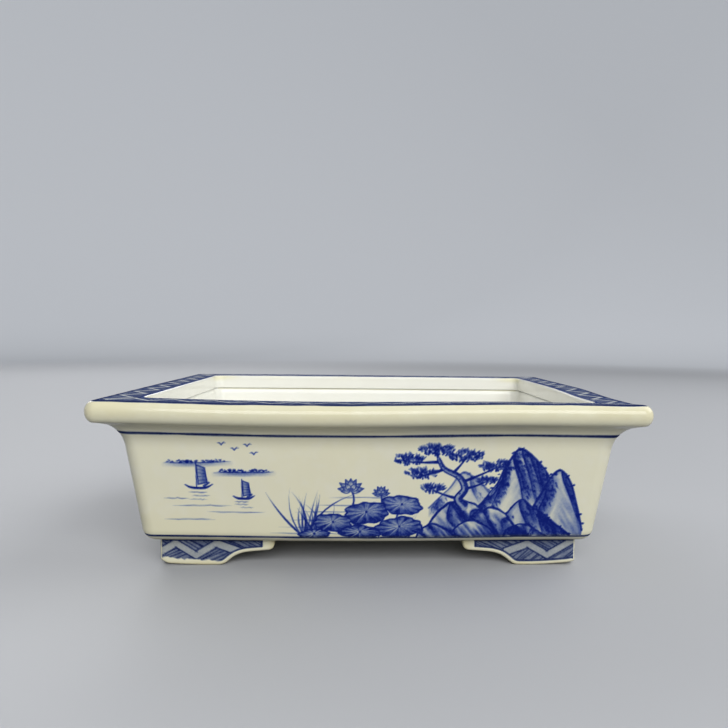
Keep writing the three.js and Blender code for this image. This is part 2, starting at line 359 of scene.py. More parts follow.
def near_line(a, b, s, v):
    """How far points are from the line between a and b, and where on it they are nearest, from 0 to 1."""
    run = b - a
    t = np.clip(((s - a[0]) * run[0] + (v - a[1]) * run[1]) / max(run @ run, 1e-9), 0, 1)
    return np.hypot(s - a[0] - t * run[0], v - a[1] - t * run[1]), t


class Canvas:
    """A face's grid of points. along is each point's place along the face, and up is its height, or on the
    rim its depth. ink is the density of cobalt there, clip says where the brush may paint, and rng has the
    random draws of its strokes."""

    SOFT = 0.42
    ALL = (slice(None), slice(None))

    def __init__(self, along, up, rng):
        self.along, self.up, self.rng = along, up, rng
        self.ink = np.zeros(along.shape)
        self.clip = np.ones(along.shape)
        self.columns = along.min(0), along.max(0)
        self.rows = up.min(1), up.max(1)

    def window(self, points, pad):
        low, high = np.min(points, 0) - pad, np.max(points, 0) + pad
        c = np.nonzero((self.columns[1] > low[0]) & (self.columns[0] < high[0]))[0]
        r = np.nonzero((self.rows[1] > low[1]) & (self.rows[0] < high[1]))[0]
        if not len(c) or not len(r):
            return None
        return slice(r[0], r[-1] + 1), slice(c[0], c[-1] + 1)

    def put(self, amount, window=ALL, wipe=False):
        amount = amount * self.clip[window]
        if wipe:
            self.ink[window] *= 1 - amount
        else:
            self.ink[window] += (1 - self.ink[window]) * amount

    def keep_to(self, cover, window=ALL):
        """Lets the brush paint only in a window, where cover says. Returns the clip that it had before."""
        held = self.clip
        self.clip = np.zeros(held.shape)
        self.clip[window] = held[window] * cover
        return held

    def stroke(self, points, width, tone, soft=SOFT, wipe=False):
        """A line through points. width and tone are single values, or run from point to point."""
        points = np.asarray(points, float)
        places = np.linspace(0, 1, len(points))
        width, tone = (np.interp(places, np.linspace(0, 1, np.size(a)), np.ravel(a)) for a in (width, tone))
        window = self.window(points, width.max() / 2 + soft)
        if window is None:
            return
        s, v = self.along[window], self.up[window]
        laid = np.zeros(s.shape)
        for i in range(len(points) - 1):
            gap, t = near_line(points[i], points[i + 1], s, v)
            wide = width[i] + (width[i + 1] - width[i]) * t
            deep = tone[i] + (tone[i + 1] - tone[i]) * t
            cover = soft_edge(wide / 2 - gap, soft) * np.clip(wide / self.SOFT, 0, 1)
            laid = np.maximum(laid, cover * deep)
        self.put(laid, window, wipe)

    def region(self, outline):
        """The window round a closed outline, its points, and their depth inside it, below 0 outside."""
        outline = np.asarray(outline, float)
        window = self.window(outline, 1)
        s, v = self.along[window], self.up[window]
        gap = np.full(s.shape, np.inf)
        inside = np.zeros(s.shape, bool)
        for a, b in zip(outline, np.roll(outline, -1, 0)):
            gap = np.minimum(gap, near_line(a, b, s, v)[0])
            if b[1] != a[1]:
                crossing = a[0] + (b[0] - a[0]) * (v - a[1]) / (b[1] - a[1])
                inside ^= ((a[1] > v) != (b[1] > v)) & (s < crossing)
        return window, s, v, np.where(inside, gap, -gap)

    def clear(self, outline, blur):
        """Wipes a closed outline. Returns its window, its points and how far each is covered."""
        window, s, v, depth = self.region(outline)
        cover = soft_edge(depth, blur)
        self.put(cover, window, wipe=True)
        return window, s, v, cover


# Single marks of the brush.

def dab(canvas, place, size, tone, lean=0.0):
    """A short fat touch of the brush tip."""
    rng = canvas.rng
    half = rng.uniform(0.3, 0.6) * size
    way = heading(lean + rng.normal(0, 0.4)) * half
    canvas.stroke([place - way, place + way], [size * 0.5, size], [tone, tone * 0.85])


TICK_WIDTH = (0.75, 0.3)


def tick(canvas, place, low, high, share=1):
    """A short stroke to the lower right. low and high bound how far across and up from its place it starts,
    its run, its fall and its tone."""
    across, up, run, fall, tone = canvas.rng.uniform(low, high)
    start = place + (across, up)
    canvas.stroke([start, start + (run, -fall)], TICK_WIDTH, tone * share)


def blade(canvas, base, tip, bend, width, tone):
    """A leaf of grass or bamboo: it swells and comes to a point."""
    base, tip = np.array(base, float), np.array(tip, float)
    side = np.array([-(tip - base)[1], (tip - base)[0]]) * bend
    t = np.linspace(0, 1, 9)[:, None]
    points = base * (1 - t) + tip * t + 4 * side * t * (1 - t)
    canvas.stroke(points, np.array([0.25, 0.8, 1, 0.95, 0.8, 0.6, 0.4, 0.22, 0.1]) * width, tone)


def water(canvas, start, end, tone):
    """A still water line: long, thin and a little wavy."""
    points = np.linspace(start, end, 12)
    points[:, 1] += canvas.rng.normal(0, 0.12, 12)
    canvas.stroke(points, [0.1, 0.45, 0.35, 0.5, 0.1], tone)


def border_line(canvas, level, width, tone, lift=0.0, wander=0.14, swell=0.0):
    """A long brush line along one side at a level, a little uneven. It may lift and swell at the corners."""
    s = np.linspace(canvas.along.min(), canvas.along.max(), 110)
    cornered = np.abs(s) / s.max()
    drift, press, load = (noise(s, level, size, canvas.rng.integers(99)) for size in (24, 9, 14))
    place = level + (drift - 0.5) * wander + ease((cornered - 0.93) / 0.07) * lift
    wide = width * (0.72 + 0.5 * press) * (1 + swell * ease((cornered - 0.8) / 0.2))
    canvas.stroke(np.column_stack([s, place]), wide, np.minimum(tone * (0.86 + 0.2 * load), 1))


# Landscape motifs. Widths are in millimetres, and a tone runs from 0, the bare glaze, to 1.

LIGHT = np.array([-0.4, 0.9])
EDGE_BLUR = 0.45
FINE_BLUR = 0.4
WATER_TONE = 0.36


def peak(canvas, ridge, base, tone, folds, mist, edge):
    """A mountain from its ridge down to a level, where it fades into mist. The ridge runs left to right."""
    rng = canvas.rng
    ridge = smooth(ridge, 8)
    ridge[:, 1] += 1.1 * (noise(ridge[:, 0], 0, 3.2, rng.integers(99)) - 0.5)
    summit = ridge[np.argmax(ridge[:, 1])]
    window, s, v, depth = canvas.region([*ridge, (ridge[-1][0], base), (ridge[0][0], base)])
    height = np.interp(s, ridge[:, 0], ridge[:, 1])
    drop = np.clip((height - v) / np.maximum(height - base, 1), 0, 1)
    inside = soft_edge(depth, 0.5)
    fade = ease((1 - drop) / mist)
    canvas.put(inside * fade, window, wipe=True)
    turned = ease((s - summit[0]) / 8 + 0.5)
    grain = streaks(s, v, 62, 9, 1.3, 7) * (1 - turned) + streaks(s, v, -58, 9, 1.3, 8) * turned
    cloud = noise(s, v, 7, rng.integers(99))
    shaded = 0.35 + 0.65 * turned
    wash = tone * shaded * (0.12 + 0.6 * grain * cloud) + 0.3 * tone * ease(1 - depth / 2.6)
    canvas.put(inside * fade * wash, window)
    held = canvas.keep_to(inside * ease(0.15 + fade), window)
    t = np.linspace(0, 1, 12)
    for place in np.sort(rng.uniform(ridge[0, 0], ridge[-1, 0], folds)):
        top = np.interp(place, ridge[:, 0], ridge[:, 1])
        room = top - base
        if room < 3:
            continue
        side = 1 if place > summit[0] - 0.1 * np.ptp(ridge[:, 0]) else -1
        length = room * rng.uniform(0.5, 0.95)
        slow, quick, _ = rng.normal(0, 0.6, 3)
        run = place + side * length * rng.uniform(0.25, 0.5) * t**1.2
        run = run + slow * np.sin(4 * t) + quick * np.sin(10 * t) * 0.6
        path = np.column_stack([run, top - 0.2 - length * t])
        wide = rng.uniform(3.0, 5.5)
        canvas.stroke(path + (wide * 0.45, -0.4), wide * np.array([0.4, 1, 0.5]),
                      tone * np.array([0.55, 0.4, 0.1]), soft=wide * 0.7)
        canvas.stroke(path + (wide * 0.2, -0.2), [0.8, 1.6, 0.5], tone * np.array([0.8, 0.7, 0.2]), soft=1.0)
        canvas.stroke(path, [0.7, 0.9, 0.5, 0.2], edge * np.array([1, 1, 0.5]))
        for _ in range(int(length / 0.7)):
            k = rng.uniform(0.02, 0.95)
            high = (wide, 0.5, 1.1, 1.9, 1)
            tick(canvas, path[int(k * 11)], (0.3, -0.5, 0.2, 0.6, 0.4), high, edge * (1 - 0.5 * k))
    canvas.clip = held
    pressure = 0.5 + 0.9 * noise(ridge[:, 0], 3, 4, rng.integers(99))
    canvas.stroke(ridge, pressure * 0.85, edge * (0.75 + 0.25 * noise(ridge[:, 0], 9, 5, 4)))
    for _ in range(folds * 2):
        k = rng.integers(len(ridge))
        dab(canvas, ridge[k] + rng.normal(0, (0.5, 0.35)), rng.uniform(0.6, 1.1), edge)


def rock(canvas, outline, tone, folds):
    """A boulder: a dark outline, a pale face towards the light, and strokes that deepen into its shade."""
    rng = canvas.rng
    curve = smooth([*outline, outline[0]], 7)[:-1]
    curve += np.column_stack([noise(curve[:, 0], curve[:, 1], 2.2, k) - 0.5 for k in (3, 8)]) * 0.9
    window, s, v, inside = canvas.clear(curve, EDGE_BLUR)
    middle = curve.mean(0)
    reach = np.abs(curve - middle).max()
    facing = ((s - middle[0]) * LIGHT[0] + (v - middle[1]) * LIGHT[1]) / reach
    angle = math.degrees(math.atan2(-LIGHT[1], -LIGHT[0]))
    grain = streaks(s, v, angle + 14, 9, 1.1, rng.integers(99))
    patches = noise(s, v, 4.5, rng.integers(99))
    shade = ease(0.52 - facing + 0.75 * (grain - 0.5) + 0.5 * (patches - 0.5))
    canvas.put(inside * (0.06 + 0.72 * tone * shade), window)
    held = canvas.keep_to(inside, window)
    inner = middle + (curve - middle) * 0.25
    for _ in range(folds * 2):
        k = rng.integers(len(curve))
        start = curve[k]
        if (start - middle) @ LIGHT < 0:
            continue
        end = inner[k] - LIGHT * reach * rng.uniform(0.1, 0.7)
        bend = (start + end) / 2 + rng.normal(0, reach * 0.12, 2)
        path = smooth([start, bend, end])
        canvas.stroke(path + (1.0, -0.5), [1.4, 2.8, 1.0], [tone * 0.8, tone * 0.7, 0.15], soft=1.8)
        canvas.stroke(path, [0.8, 0.7, 0.2], [1.0, 0.9, 0.4])
        for _ in range(6):
            tick(canvas, path[rng.integers(len(path))], (0.3, -0.6, 0.2, 0.6, 0.6), (1.8, 0.3, 0.9, 1.6, 1))
    canvas.clip = held
    curve = closed(curve)
    pressure = 0.55 + 0.8 * noise(curve[:, 0], curve[:, 1], 4, rng.integers(99))
    canvas.stroke(curve, pressure * 0.95, 0.97)


# Layers of needles: how far up they are set, their tone and width, and how many there are.
NEEDLES = ((0.3, 0.34, 1.5, 0.5), (0.15, 0.62, 0.95, 0.9), (-0.15, 0.95, 0.75, 0.8))


def foliage(canvas, centre, size):
    """A flat cloud of needles: light tufts above, dark ones below, and gaps where the ground shows."""
    rng = canvas.rng
    count = int(2.6 * size[0] * size[1])
    for shift, tone, wide, share in NEEDLES:
        for _ in range(int(count * share)):
            turn, far = rng.uniform(0, math.tau), math.sqrt(rng.uniform(0, 1))
            at = centre + size * (far * heading(turn) + (0, shift))
            lean = math.pi / 2 - 0.9 * (at[0] - centre[0]) / size[0] + rng.normal(0, 0.5)
            way = heading(lean) * rng.uniform(0.45, 1.0)
            canvas.stroke([at - way * 0.6, at + way], [wide, wide * 0.4], tone * rng.uniform(0.7, 1))


def pine(canvas, trunk, clouds):
    """An old pine: a leaning, scarred trunk, and level clouds of needles on short boughs."""
    rng = canvas.rng
    trunk = smooth(trunk, 7)
    for x, z, reach, rise in clouds:
        root = trunk[np.argmin(np.hypot(trunk[:, 0] - x, (trunk[:, 1] - z + 4) * 1.6))]
        bough = smooth([root, ((root[0] + x) / 2, (root[1] + z) / 2 - 0.9), (x, z - 0.6 * rise)])
        canvas.stroke(bough, [1.5, 0.9, 0.5], 0.95)
        foliage(canvas, np.array([x, z]), np.array([reach, rise]))
    wide = np.linspace(3.9, 1.3, len(trunk))
    canvas.stroke(trunk, wide, 1, wipe=True)
    canvas.stroke(trunk, wide, 0.25)
    run = np.gradient(trunk, axis=0)
    across = np.column_stack([-run[:, 1], run[:, 0]]) / np.linalg.norm(run, axis=1)[:, None]
    for side in (1, -1):
        canvas.stroke(trunk + across * (side * wide / 2)[:, None], [0.85, 0.6, 0.45], 0.97)
    canvas.stroke(trunk - across * (wide * 0.26)[:, None], wide * 0.42, 0.75, soft=0.8)
    for k in range(2, len(trunk) - 2, 2):
        at = trunk[k] + across[k] * rng.uniform(-0.25, 0.3) * wide[k]
        dab(canvas, at, 0.6, 0.9, lean=rng.choice([0.6, 2.4]))


def lotus_leaf(canvas, centre, size, tilt, tone):
    """A lotus leaf seen at a slant: a wavy edge, light veins and a dark heart."""
    rng = canvas.rng
    turn = np.linspace(0, math.tau, 60, endpoint=False)
    wave = 1
    for waves, depth, phase in zip((4, 7, 13), (0.05, 0.05, 0.03), rng.uniform(0, math.tau, 3)):
        wave = wave + depth * np.sin(waves * turn + phase)
    c, d = heading(tilt)
    flat = np.column_stack([size[0] * wave * np.cos(turn), size[1] * wave * np.sin(turn)])
    edge = centre + flat @ np.array([[c, d], [-d, c]])
    window, s, v, inside = canvas.clear(edge, EDGE_BLUR)
    heart = centre + np.array([0, size[1] * 0.12])
    x = ((s - heart[0]) * c + (v - heart[1]) * d) / size[0]
    y = ((v - heart[1]) * c - (s - heart[0]) * d) / size[1]
    reach = np.hypot(x, y)
    rays = 0.5 + 0.5 * np.sin(np.arctan2(y, x) * 11 + 3 * noise(s, v, 3, 5))
    shade = tone * (0.38 + 0.55 * ease(reach) + 0.5 * ease(1 - reach * 2.6)) * (0.55 + 0.6 * rays)
    shade = shade + 0.22 * tone * (noise(s, v, 2.2, rng.integers(99)) - 0.4) + 0.3 * tone * ease(-y)
    canvas.put(inside * np.clip(shade, 0.04, 0.95), window)
    for tip in edge[::5]:
        canvas.stroke([heart, heart + (tip - heart) * 0.94], [0.55, 0.2], 0.7, wipe=True)
        canvas.stroke([heart + (0.2, -0.2), heart + (tip - heart) * 0.8 + (0.2, -0.2)], [0.3, 0.1], 0.5)
    edge = closed(edge)
    canvas.stroke(edge, 0.35 + 0.5 * noise(edge[:, 0], edge[:, 1], 3, 9), 0.95)
    canvas.stroke([heart, heart + (0.1, 0)], 1.1, 0.9)


def lotus_petal(canvas, centre, angle, length, width):
    way = heading(angle)
    across = np.array([-way[1], way[0]])
    t = np.linspace(0, 1, 9)
    swell = np.outer(np.sin(np.pi * t**0.8) * width / 2, across)
    spine = centre + np.outer(t * length, way)
    outline = np.concatenate([spine + swell, (spine - swell)[::-1]])
    window, s, v, inside = canvas.clear(outline, FINE_BLUR)
    along = ((s - centre[0]) * way[0] + (v - centre[1]) * way[1]) / length
    canvas.put(inside * (0.05 + 0.42 * ease((along - 0.45) / 0.55)), window)
    canvas.stroke(closed(outline), 0.36, 0.85)
    for k in (-0.25, 0, 0.25):
        start = centre + way * length * 0.35 + across * k * width
        canvas.stroke([start, centre + way * length * 0.9], 0.2, 0.4)


def lotus_flower(canvas, centre, size):
    """An open lotus: pointed petals round a seed head, with tinted tips."""
    for angle in (0.15, 2.99, 0.62, 2.52, 1.15, 1.99):
        lotus_petal(canvas, centre, angle, size * canvas.rng.uniform(0.95, 1.05), size * 0.42)
    lotus_petal(canvas, centre, 1.57, size * 0.95, size * 0.44)
    for angle in (-0.12, 3.26, 0.42, 2.72, 0.95, 2.19):
        lotus_petal(canvas, centre, angle, size * 0.72, size * 0.36)
    turn = np.linspace(0, math.tau, 20, endpoint=False)
    head = centre + size * np.column_stack([0.24 * np.cos(turn), 0.1 + 0.13 * np.sin(turn)])
    window, _, _, inside = canvas.clear(head, FINE_BLUR)
    canvas.put(inside * 0.6, window)


def stem(canvas, path):
    path = smooth(path)
    canvas.stroke(path, 1.25, 1, wipe=True)
    canvas.stroke(path, 0.75, 0.8)
    for k in range(2, len(path), 3):
        dab(canvas, path[k] + (canvas.rng.choice([-0.4, 0.4]), 0), 0.3, 0.8)


def boat(canvas, place, size):
    """A small sailing boat with a battened sail, and its reflection."""

    def at(*points):
        return place + size * np.array(points)

    sail = at((-0.05, 0.18), (-0.12, 1.25), (0.3, 1.1), (0.42, 0.3))
    window, s, _, inside = canvas.clear(sail, FINE_BLUR)
    canvas.put(inside * (0.25 + 0.35 * ease((s - place[0]) / (0.4 * size))), window)
    canvas.stroke(closed(sail), 0.42, 0.9)
    for t in (0.2, 0.4, 0.6, 0.8):
        canvas.stroke(sail[[0, 3]] * (1 - t) + sail[[1, 2]] * t, 0.25, 0.75)
    canvas.stroke(at((-0.14, 0), (-0.14, 1.35)), 0.36, 0.95)
    canvas.stroke(smooth(at((-0.75, 0.16), (-0.4, 0), (0.3, 0), (0.7, 0.2))), [0.3, 1.0, 1.1, 0.3], 0.95)
    canvas.stroke(at((0.25, 0.1), (0.5, 0.28)), [1.2, 0.8], 0.7)
    for k in range(3):
        shift = canvas.rng.uniform(-0.2, 0.2)
        start, end = at((shift - 0.5, -0.25 - 0.2 * k), (shift + 0.5, -0.25 - 0.2 * k))
        water(canvas, start, end, 0.42 - 0.1 * k)


WINGS = (
    (((-1, 0.35), (-0.45, 0.42), (0, 0)), (0.15, 0.42, 0.35)),
    (((0, 0), (0.5, 0.55), (1, 0.5)), (0.35, 0.42, 0.15)),
)


def birds(canvas, size, *places):
    for place in places:
        for wing, width in WINGS:
            canvas.stroke(smooth(place + size * np.array(wing)), width, 0.9)


def shore(canvas, start, end, tone):
    """A low far shore with small trees, over a soft wash that melts downwards."""
    rng = canvas.rng
    bank = np.linspace(start, end, 16)
    bank[:, 1] += 0.5 * (noise(bank[:, 0], 1, 5, 2) - 0.5)
    canvas.stroke(bank - (0, 0.7), 1.8, [0.05, tone * 0.45, tone * 0.35, 0.05], soft=1.6)
    canvas.stroke(bank, [0.15, 0.6, 0.45, 0.6, 0.15], tone)
    for _ in range(int(abs(end[0] - start[0]) * 1.6)):
        k = rng.uniform(0.1, 0.9)
        at = bank[int(k * 15)] + (rng.normal(0, 0.6), rng.uniform(0.2, 1.3))
        dab(canvas, at, rng.uniform(0.5, 0.9), tone * rng.uniform(0.7, 1.5))


def grass_tuft(canvas, base, height, count):
    rng = canvas.rng
    for _ in range(count):
        lean = rng.normal(0, 0.35)
        tip = (base[0] + height * lean, base[1] + height * rng.uniform(0.65, 1.05))
        start = (base[0] + rng.normal(0, 0.8), base[1])
        blade(canvas, start, tip, rng.normal(0, 0.12), rng.uniform(0.5, 1.0), 0.9 * rng.uniform(0.5, 1))


def bamboo(canvas, base, height, lean, tone):
    """One culm: pale joints between dark rings, with sprays of pointed leaves."""
    rng = canvas.rng
    t = np.linspace(0, 1, 7)
    joints = np.column_stack([base[0] + lean * height * t**1.4, base[1] + height * t**0.85])
    for a, b in zip(joints[:-1], joints[1:]):
        culm = [a + (0, 0.35), b - (0, 0.35)]
        canvas.stroke(culm, [2.1, 2.0], 1, wipe=True)
        canvas.stroke(culm, [1.9, 1.8], 0.42 * tone)
        for side in (-0.9, 0.9):
            flank = [a + (side, 0.4), (a + b) / 2 + (side * 0.82, 0), b + (side, -0.4)]
            canvas.stroke(flank, 0.42, 0.8 * tone)
        canvas.stroke([b - (1.15, 0), b + (1.15, 0)], 0.6, tone)
    for joint in joints[2:]:
        for _ in range(rng.integers(2, 4)):
            side = rng.choice([-1, 1])
            twig = joint + (side * rng.uniform(2.5, 6), rng.uniform(1, 5))
            canvas.stroke([joint, (joint + twig) / 2 + (0, 0.8), twig], [0.55, 0.3], 0.85 * tone)
            for angle in rng.uniform(-1.1, 0.35, rng.integers(3, 6)):
                tip = twig + rng.uniform(4.5, 8.5) * heading(angle) * (side, 1)
                bend, wide = rng.normal(0, 0.06), rng.uniform(1.1, 1.7)
                blade(canvas, twig, tip, bend, wide, tone * rng.uniform(0.45, 1))


def blossom(canvas, centre, size):
    """A five petalled plum blossom with a ring of stamens."""
    rng = canvas.rng
    turn = rng.uniform(0, math.tau)
    around = np.linspace(0, math.tau, 13)
    ring = size * 0.42 * np.column_stack([np.cos(around), 0.9 * np.sin(around)])
    for k in range(5):
        petal = centre + size * 0.55 * heading(turn + k * math.tau / 5) * (1, 0.9)
        spot = [petal, petal + (0.01, 0)]
        canvas.stroke(spot, size * 0.8, 1, wipe=True)
        canvas.stroke(spot, size * 0.6, 0.1, soft=size * 0.4)
        canvas.stroke(petal + ring, 0.4, 0.85)
    for angle in np.linspace(0, math.tau, 9):
        tip = centre + size * 0.42 * heading(angle)
        canvas.stroke([centre, tip], 0.22, 0.7)
        dab(canvas, tip, 0.45, 0.95)


def plum_branch(canvas, path, width):
    """A knotted branch with side twigs, buds and blossoms."""
    rng = canvas.rng
    path = smooth(path, 8)
    bend = np.column_stack([noise(path[:, 0], 1, 7, 4), noise(path[:, 0], 2, 7, 5)]) - 0.5
    path = path + bend * 1.8
    wide = np.linspace(width, width * 0.25, len(path))
    canvas.stroke(path, wide, 0.6)
    canvas.stroke(path + (0, 0.2), wide * 0.5, 0.5, wipe=True)
    canvas.stroke(path - np.outer(wide, (0, 0.35)), wide * 0.4, 0.95)
    for k in range(3, len(path), 3):
        dab(canvas, path[k] + (0, rng.normal(0, 0.2) * wide[k]), 0.7, 0.95)
        if rng.uniform() > 0.45:
            side = rng.choice([-1, 1])
            tip = path[k] + (rng.uniform(1, 7), side * rng.uniform(4, 9))
            twig = smooth([path[k], (path[k] + tip) / 2 + rng.normal(0, 0.8, 2), tip], 5)
            canvas.stroke(twig, [0.9, 0.35], 0.9)
            for place in twig[3::3]:
                dab(canvas, place + rng.normal(0, 0.5, 2), 0.9, 0.7)
            blossom(canvas, tip, rng.uniform(1.9, 2.8))
        if rng.uniform() > 0.6:
            blossom(canvas, path[k] + rng.normal(0, 0.8, 2), rng.uniform(2.2, 3.2))


def pond(canvas, *lines):
    """Water lines from their height and their two ends. One end of each is a little higher or lower."""
    for z, a, b in lines:
        water(canvas, (a, z), (b, z + canvas.rng.normal(0, 0.3)), WATER_TONE)


def sea(canvas, *lines):
    for z, a, b in lines:
        water(canvas, (a, z), (b, z), WATER_TONE)


# The pictures on the walls. Each row is a motif and what it asks for, in the order of painting, with places
# along the wall and heights on it.
BACK_PICTURE = (
    (plum_branch, ((-96, 24), (-78, 32), (-60, 33), (-38, 43), (-14, 44), (10, 54), (34, 56)), 4.2),
    (plum_branch, ((-62, 33), (-44, 28), (-24, 30), (0, 26)), 2.4),
    (plum_branch, ((-12, 44), (8, 40), (26, 43), (48, 38)), 2.2),
    (birds, 3, (62, 52), (74, 47), (68, 58)),
)
SIDE_PICTURE = (
    (bamboo, (-22, 18), 42, -0.12, 0.5),
    (bamboo, (-9, 18), 45, 0.1, 1.0),
    (bamboo, (5, 18), 38, 0.3, 0.75),
    (rock, ((-36, 13), (-32, 22), (-23, 28), (-12, 24), (-6, 13)), 0.85, 7),
    (rock, ((-15, 13), (-10, 20), (0, 23), (9, 19), (14, 13)), 0.9, 6),
    (grass_tuft, (19, 16.5), 12, 9),
    (birds, 2.6, (38, 55), (47, 51), (41, 47)),
)
FRONT_PICTURE = (
    # Misty hills on the right, near ones over far ones.
    (peak, ((28, 33), (37, 42), (44, 50), (52, 46), (60, 36)), 27, 0.3, 6, 0.35, 0.45),
    (peak, ((52, 33), (60, 44), (66, 56), (71, 62), (78, 57), (87, 46), (95, 34)), 24, 0.6, 13, 0.35, 0.95),
    (peak, ((74, 24), (81, 38), (86, 47), (91, 51), (96, 45), (100, 33), (103, 20)), 16, 0.8, 11, 0.12, 1.0),
    (peak, ((56, 18), (65, 28), (72, 36), (79, 32), (88, 25), (97, 18)), 14, 0.9, 11, 0.08, 1.0),
    # The bank, with the pine over it.
    (rock, ((49, 15), (51, 26), (57, 32), (64, 30), (70, 23), (75, 15)), 0.9, 7),
    (rock, ((28, 15), (29, 25), (35, 33), (43, 36), (52, 33), (57, 25), (60, 15)), 0.85, 9),
    (rock, ((38, 15), (41, 22), (48, 26), (56, 23), (61, 15)), 0.95, 5),
    (rock, ((64, 15), (67, 21), (74, 24), (81, 20), (86, 15)), 0.95, 5),
    (rock, ((22, 15), (24, 21), (30, 24), (37, 21), (41, 15)), 0.95, 4),
    (pine, ((45, 33), (42, 37), (45, 42), (42, 48), (35, 52), (32, 57)),
     ((31, 61.5, 8.5, 2.4), (18, 57, 7.5, 2.2), (45, 58.5, 8.5, 2.5), (59, 53.5, 8, 2.3), (24, 50, 8, 2.2),
      (30, 42.5, 6, 1.9), (55, 46.5, 5.5, 1.8))),
    # The lotus pond.
    (pond, (34, -28, 20), (30.5, -36, 12), (26.5, -40, 4), (22.5, -44, 22), (38, -20, 16), (19.5, -48, -12)),
    (grass_tuft, (-31, 16.5), 26, 13),
    (grass_tuft, (-24, 16.5), 19, 9),
    (grass_tuft, (18, 16.5), 13, 7),
    (stem, ((-10, 17), (-11, 26), (-8, 36), (-9, 42))),
    (stem, ((4, 17), (6, 28), (5, 40))),
    (stem, ((13, 17), (12, 24), (14, 33))),
    (lotus_leaf, (15, 34), (9.5, 4.6), -0.12, 0.7),
    (lotus_leaf, (-2, 30), (10.5, 5.4), 0.1, 0.8),
    (lotus_leaf, (-18, 25), (9, 4.4), -0.05, 0.75),
    (lotus_leaf, (14, 22.5), (11, 5.2), 0.06, 0.9),
    (lotus_leaf, (-5, 20), (9.5, 3.6), -0.04, 1.0),
    (lotus_leaf, (-27, 19), (7, 2.6), 0.05, 0.9),
    (lotus_flower, (-9.5, 41.5), 6.2),
    (lotus_flower, (5, 39.5), 4.2),
    # Boats, birds and a far shore on the left.
    (shore, (-97, 54), (-66, 55), 0.6),
    (shore, (-74, 49.5), (-46, 50.5), 0.8),
    (boat, (-81, 42), 9),
    (boat, (-60, 37), 7),
    (birds, 2, (-64, 61), (-58, 63), (-55, 59), (-70, 63.5)),
    (sea, (33, -94, -66), (30, -78, -50), (36.5, -98, -86), (26, -98, -74)),
)
PICTURES = {"front": FRONT_PICTURE, "back": BACK_PICTURE, "left": SIDE_PICTURE, "right": SIDE_PICTURE}


# Zigzag panels of the feet and the rim: a plain band between dark lines, over hatching on a light wash.

BAND_BLUR = 0.3
BAND_LINE = (0.64, 0.6)
# A hatching's gap between strokes, their lean below and above the band, and their width.
RIM_HATCH = (1.6, 1.0, math.pi - 1.0, 0.6)
FOOT_HATCH = (1.5, 0.42, math.pi - 0.5, 0.5)
FLIPPED_HATCH = (1.5, math.pi - 0.62, 0.5, 0.5)


def zigzag(canvas, corners, thick, hatch, wash):
    """corners are the lower line's points. The upper line runs thick above it, and past the last corner there
    is only hatching."""
    rng = canvas.rng
    corners = np.asarray(corners, float)
    s, v = canvas.along, canvas.up
    low = np.where(s > corners[-1, 0], -99, np.interp(s, corners[:, 0], corners[:, 1]))
    gap, lean_below, lean_above, width = hatch
    reach = np.ptp(corners[:, 1]) + 2 * thick
    for side, lean in ((low - v, lean_below), (v - low - thick, lean_above)):
        held = canvas.keep_to(np.clip(side / BAND_BLUR, 0, 1))
        canvas.put(wash * (0.5 + noise(s, v, 3, rng.integers(99))))
        step = gap / abs(math.sin(lean))
        drift = reach / abs(math.tan(lean))
        for start in np.arange(s.min() - drift, s.max() + drift, step):
            middle = np.array([start + rng.normal(0, 0.14 * step), corners[:, 1].mean() + thick / 2])
            angle = lean + rng.normal(0, 0.05)
            way = heading(angle) * reach / abs(math.sin(angle))
            tone = rng.uniform(0.7, 0.95)
            canvas.stroke([middle - way, middle, middle + way], width * rng.uniform(0.75, 1.2), tone)
        canvas.clip = held
    for shift in (0, thick):
        for a, b in zip(corners[:-1], corners[1:]):
            run = (b - a) * 0.03
            shifted = (0, shift) + rng.normal(0, 0.1, 2)
            canvas.stroke([a - run + shifted, b + run + shifted], BAND_LINE, rng.uniform(0.9, 1))


FOOT_BORDER = 2.4
FOOT_TAIL_BORDER = 6.2
FOOT_CORNER_BORDER = 1.1
FOOT_LINE = 0.9
FOOT_LINE_DROP = 0.7
# The zigzag's corners, as distances back from its end and heights, and how far past the pad it ends.
FOOT_ZIGZAG = ((41.6, 3.0), (31.7, 8.9), (21.8, 3.0), (11.9, 8.9), (0, 4.6))
FLIPPED_ZIGZAG = ((36, 11.2), (21.8, 3.0), (11.9, 8.9), (0, 4.6))
ZIGZAG_PAST_PAD = 11.5
FLIPPED_PAST_PAD = 8.1
FOOT_BAND = 4.5
FOOT_GROUND = (0.17, 0.1)
FOOT_WASH = 0.28


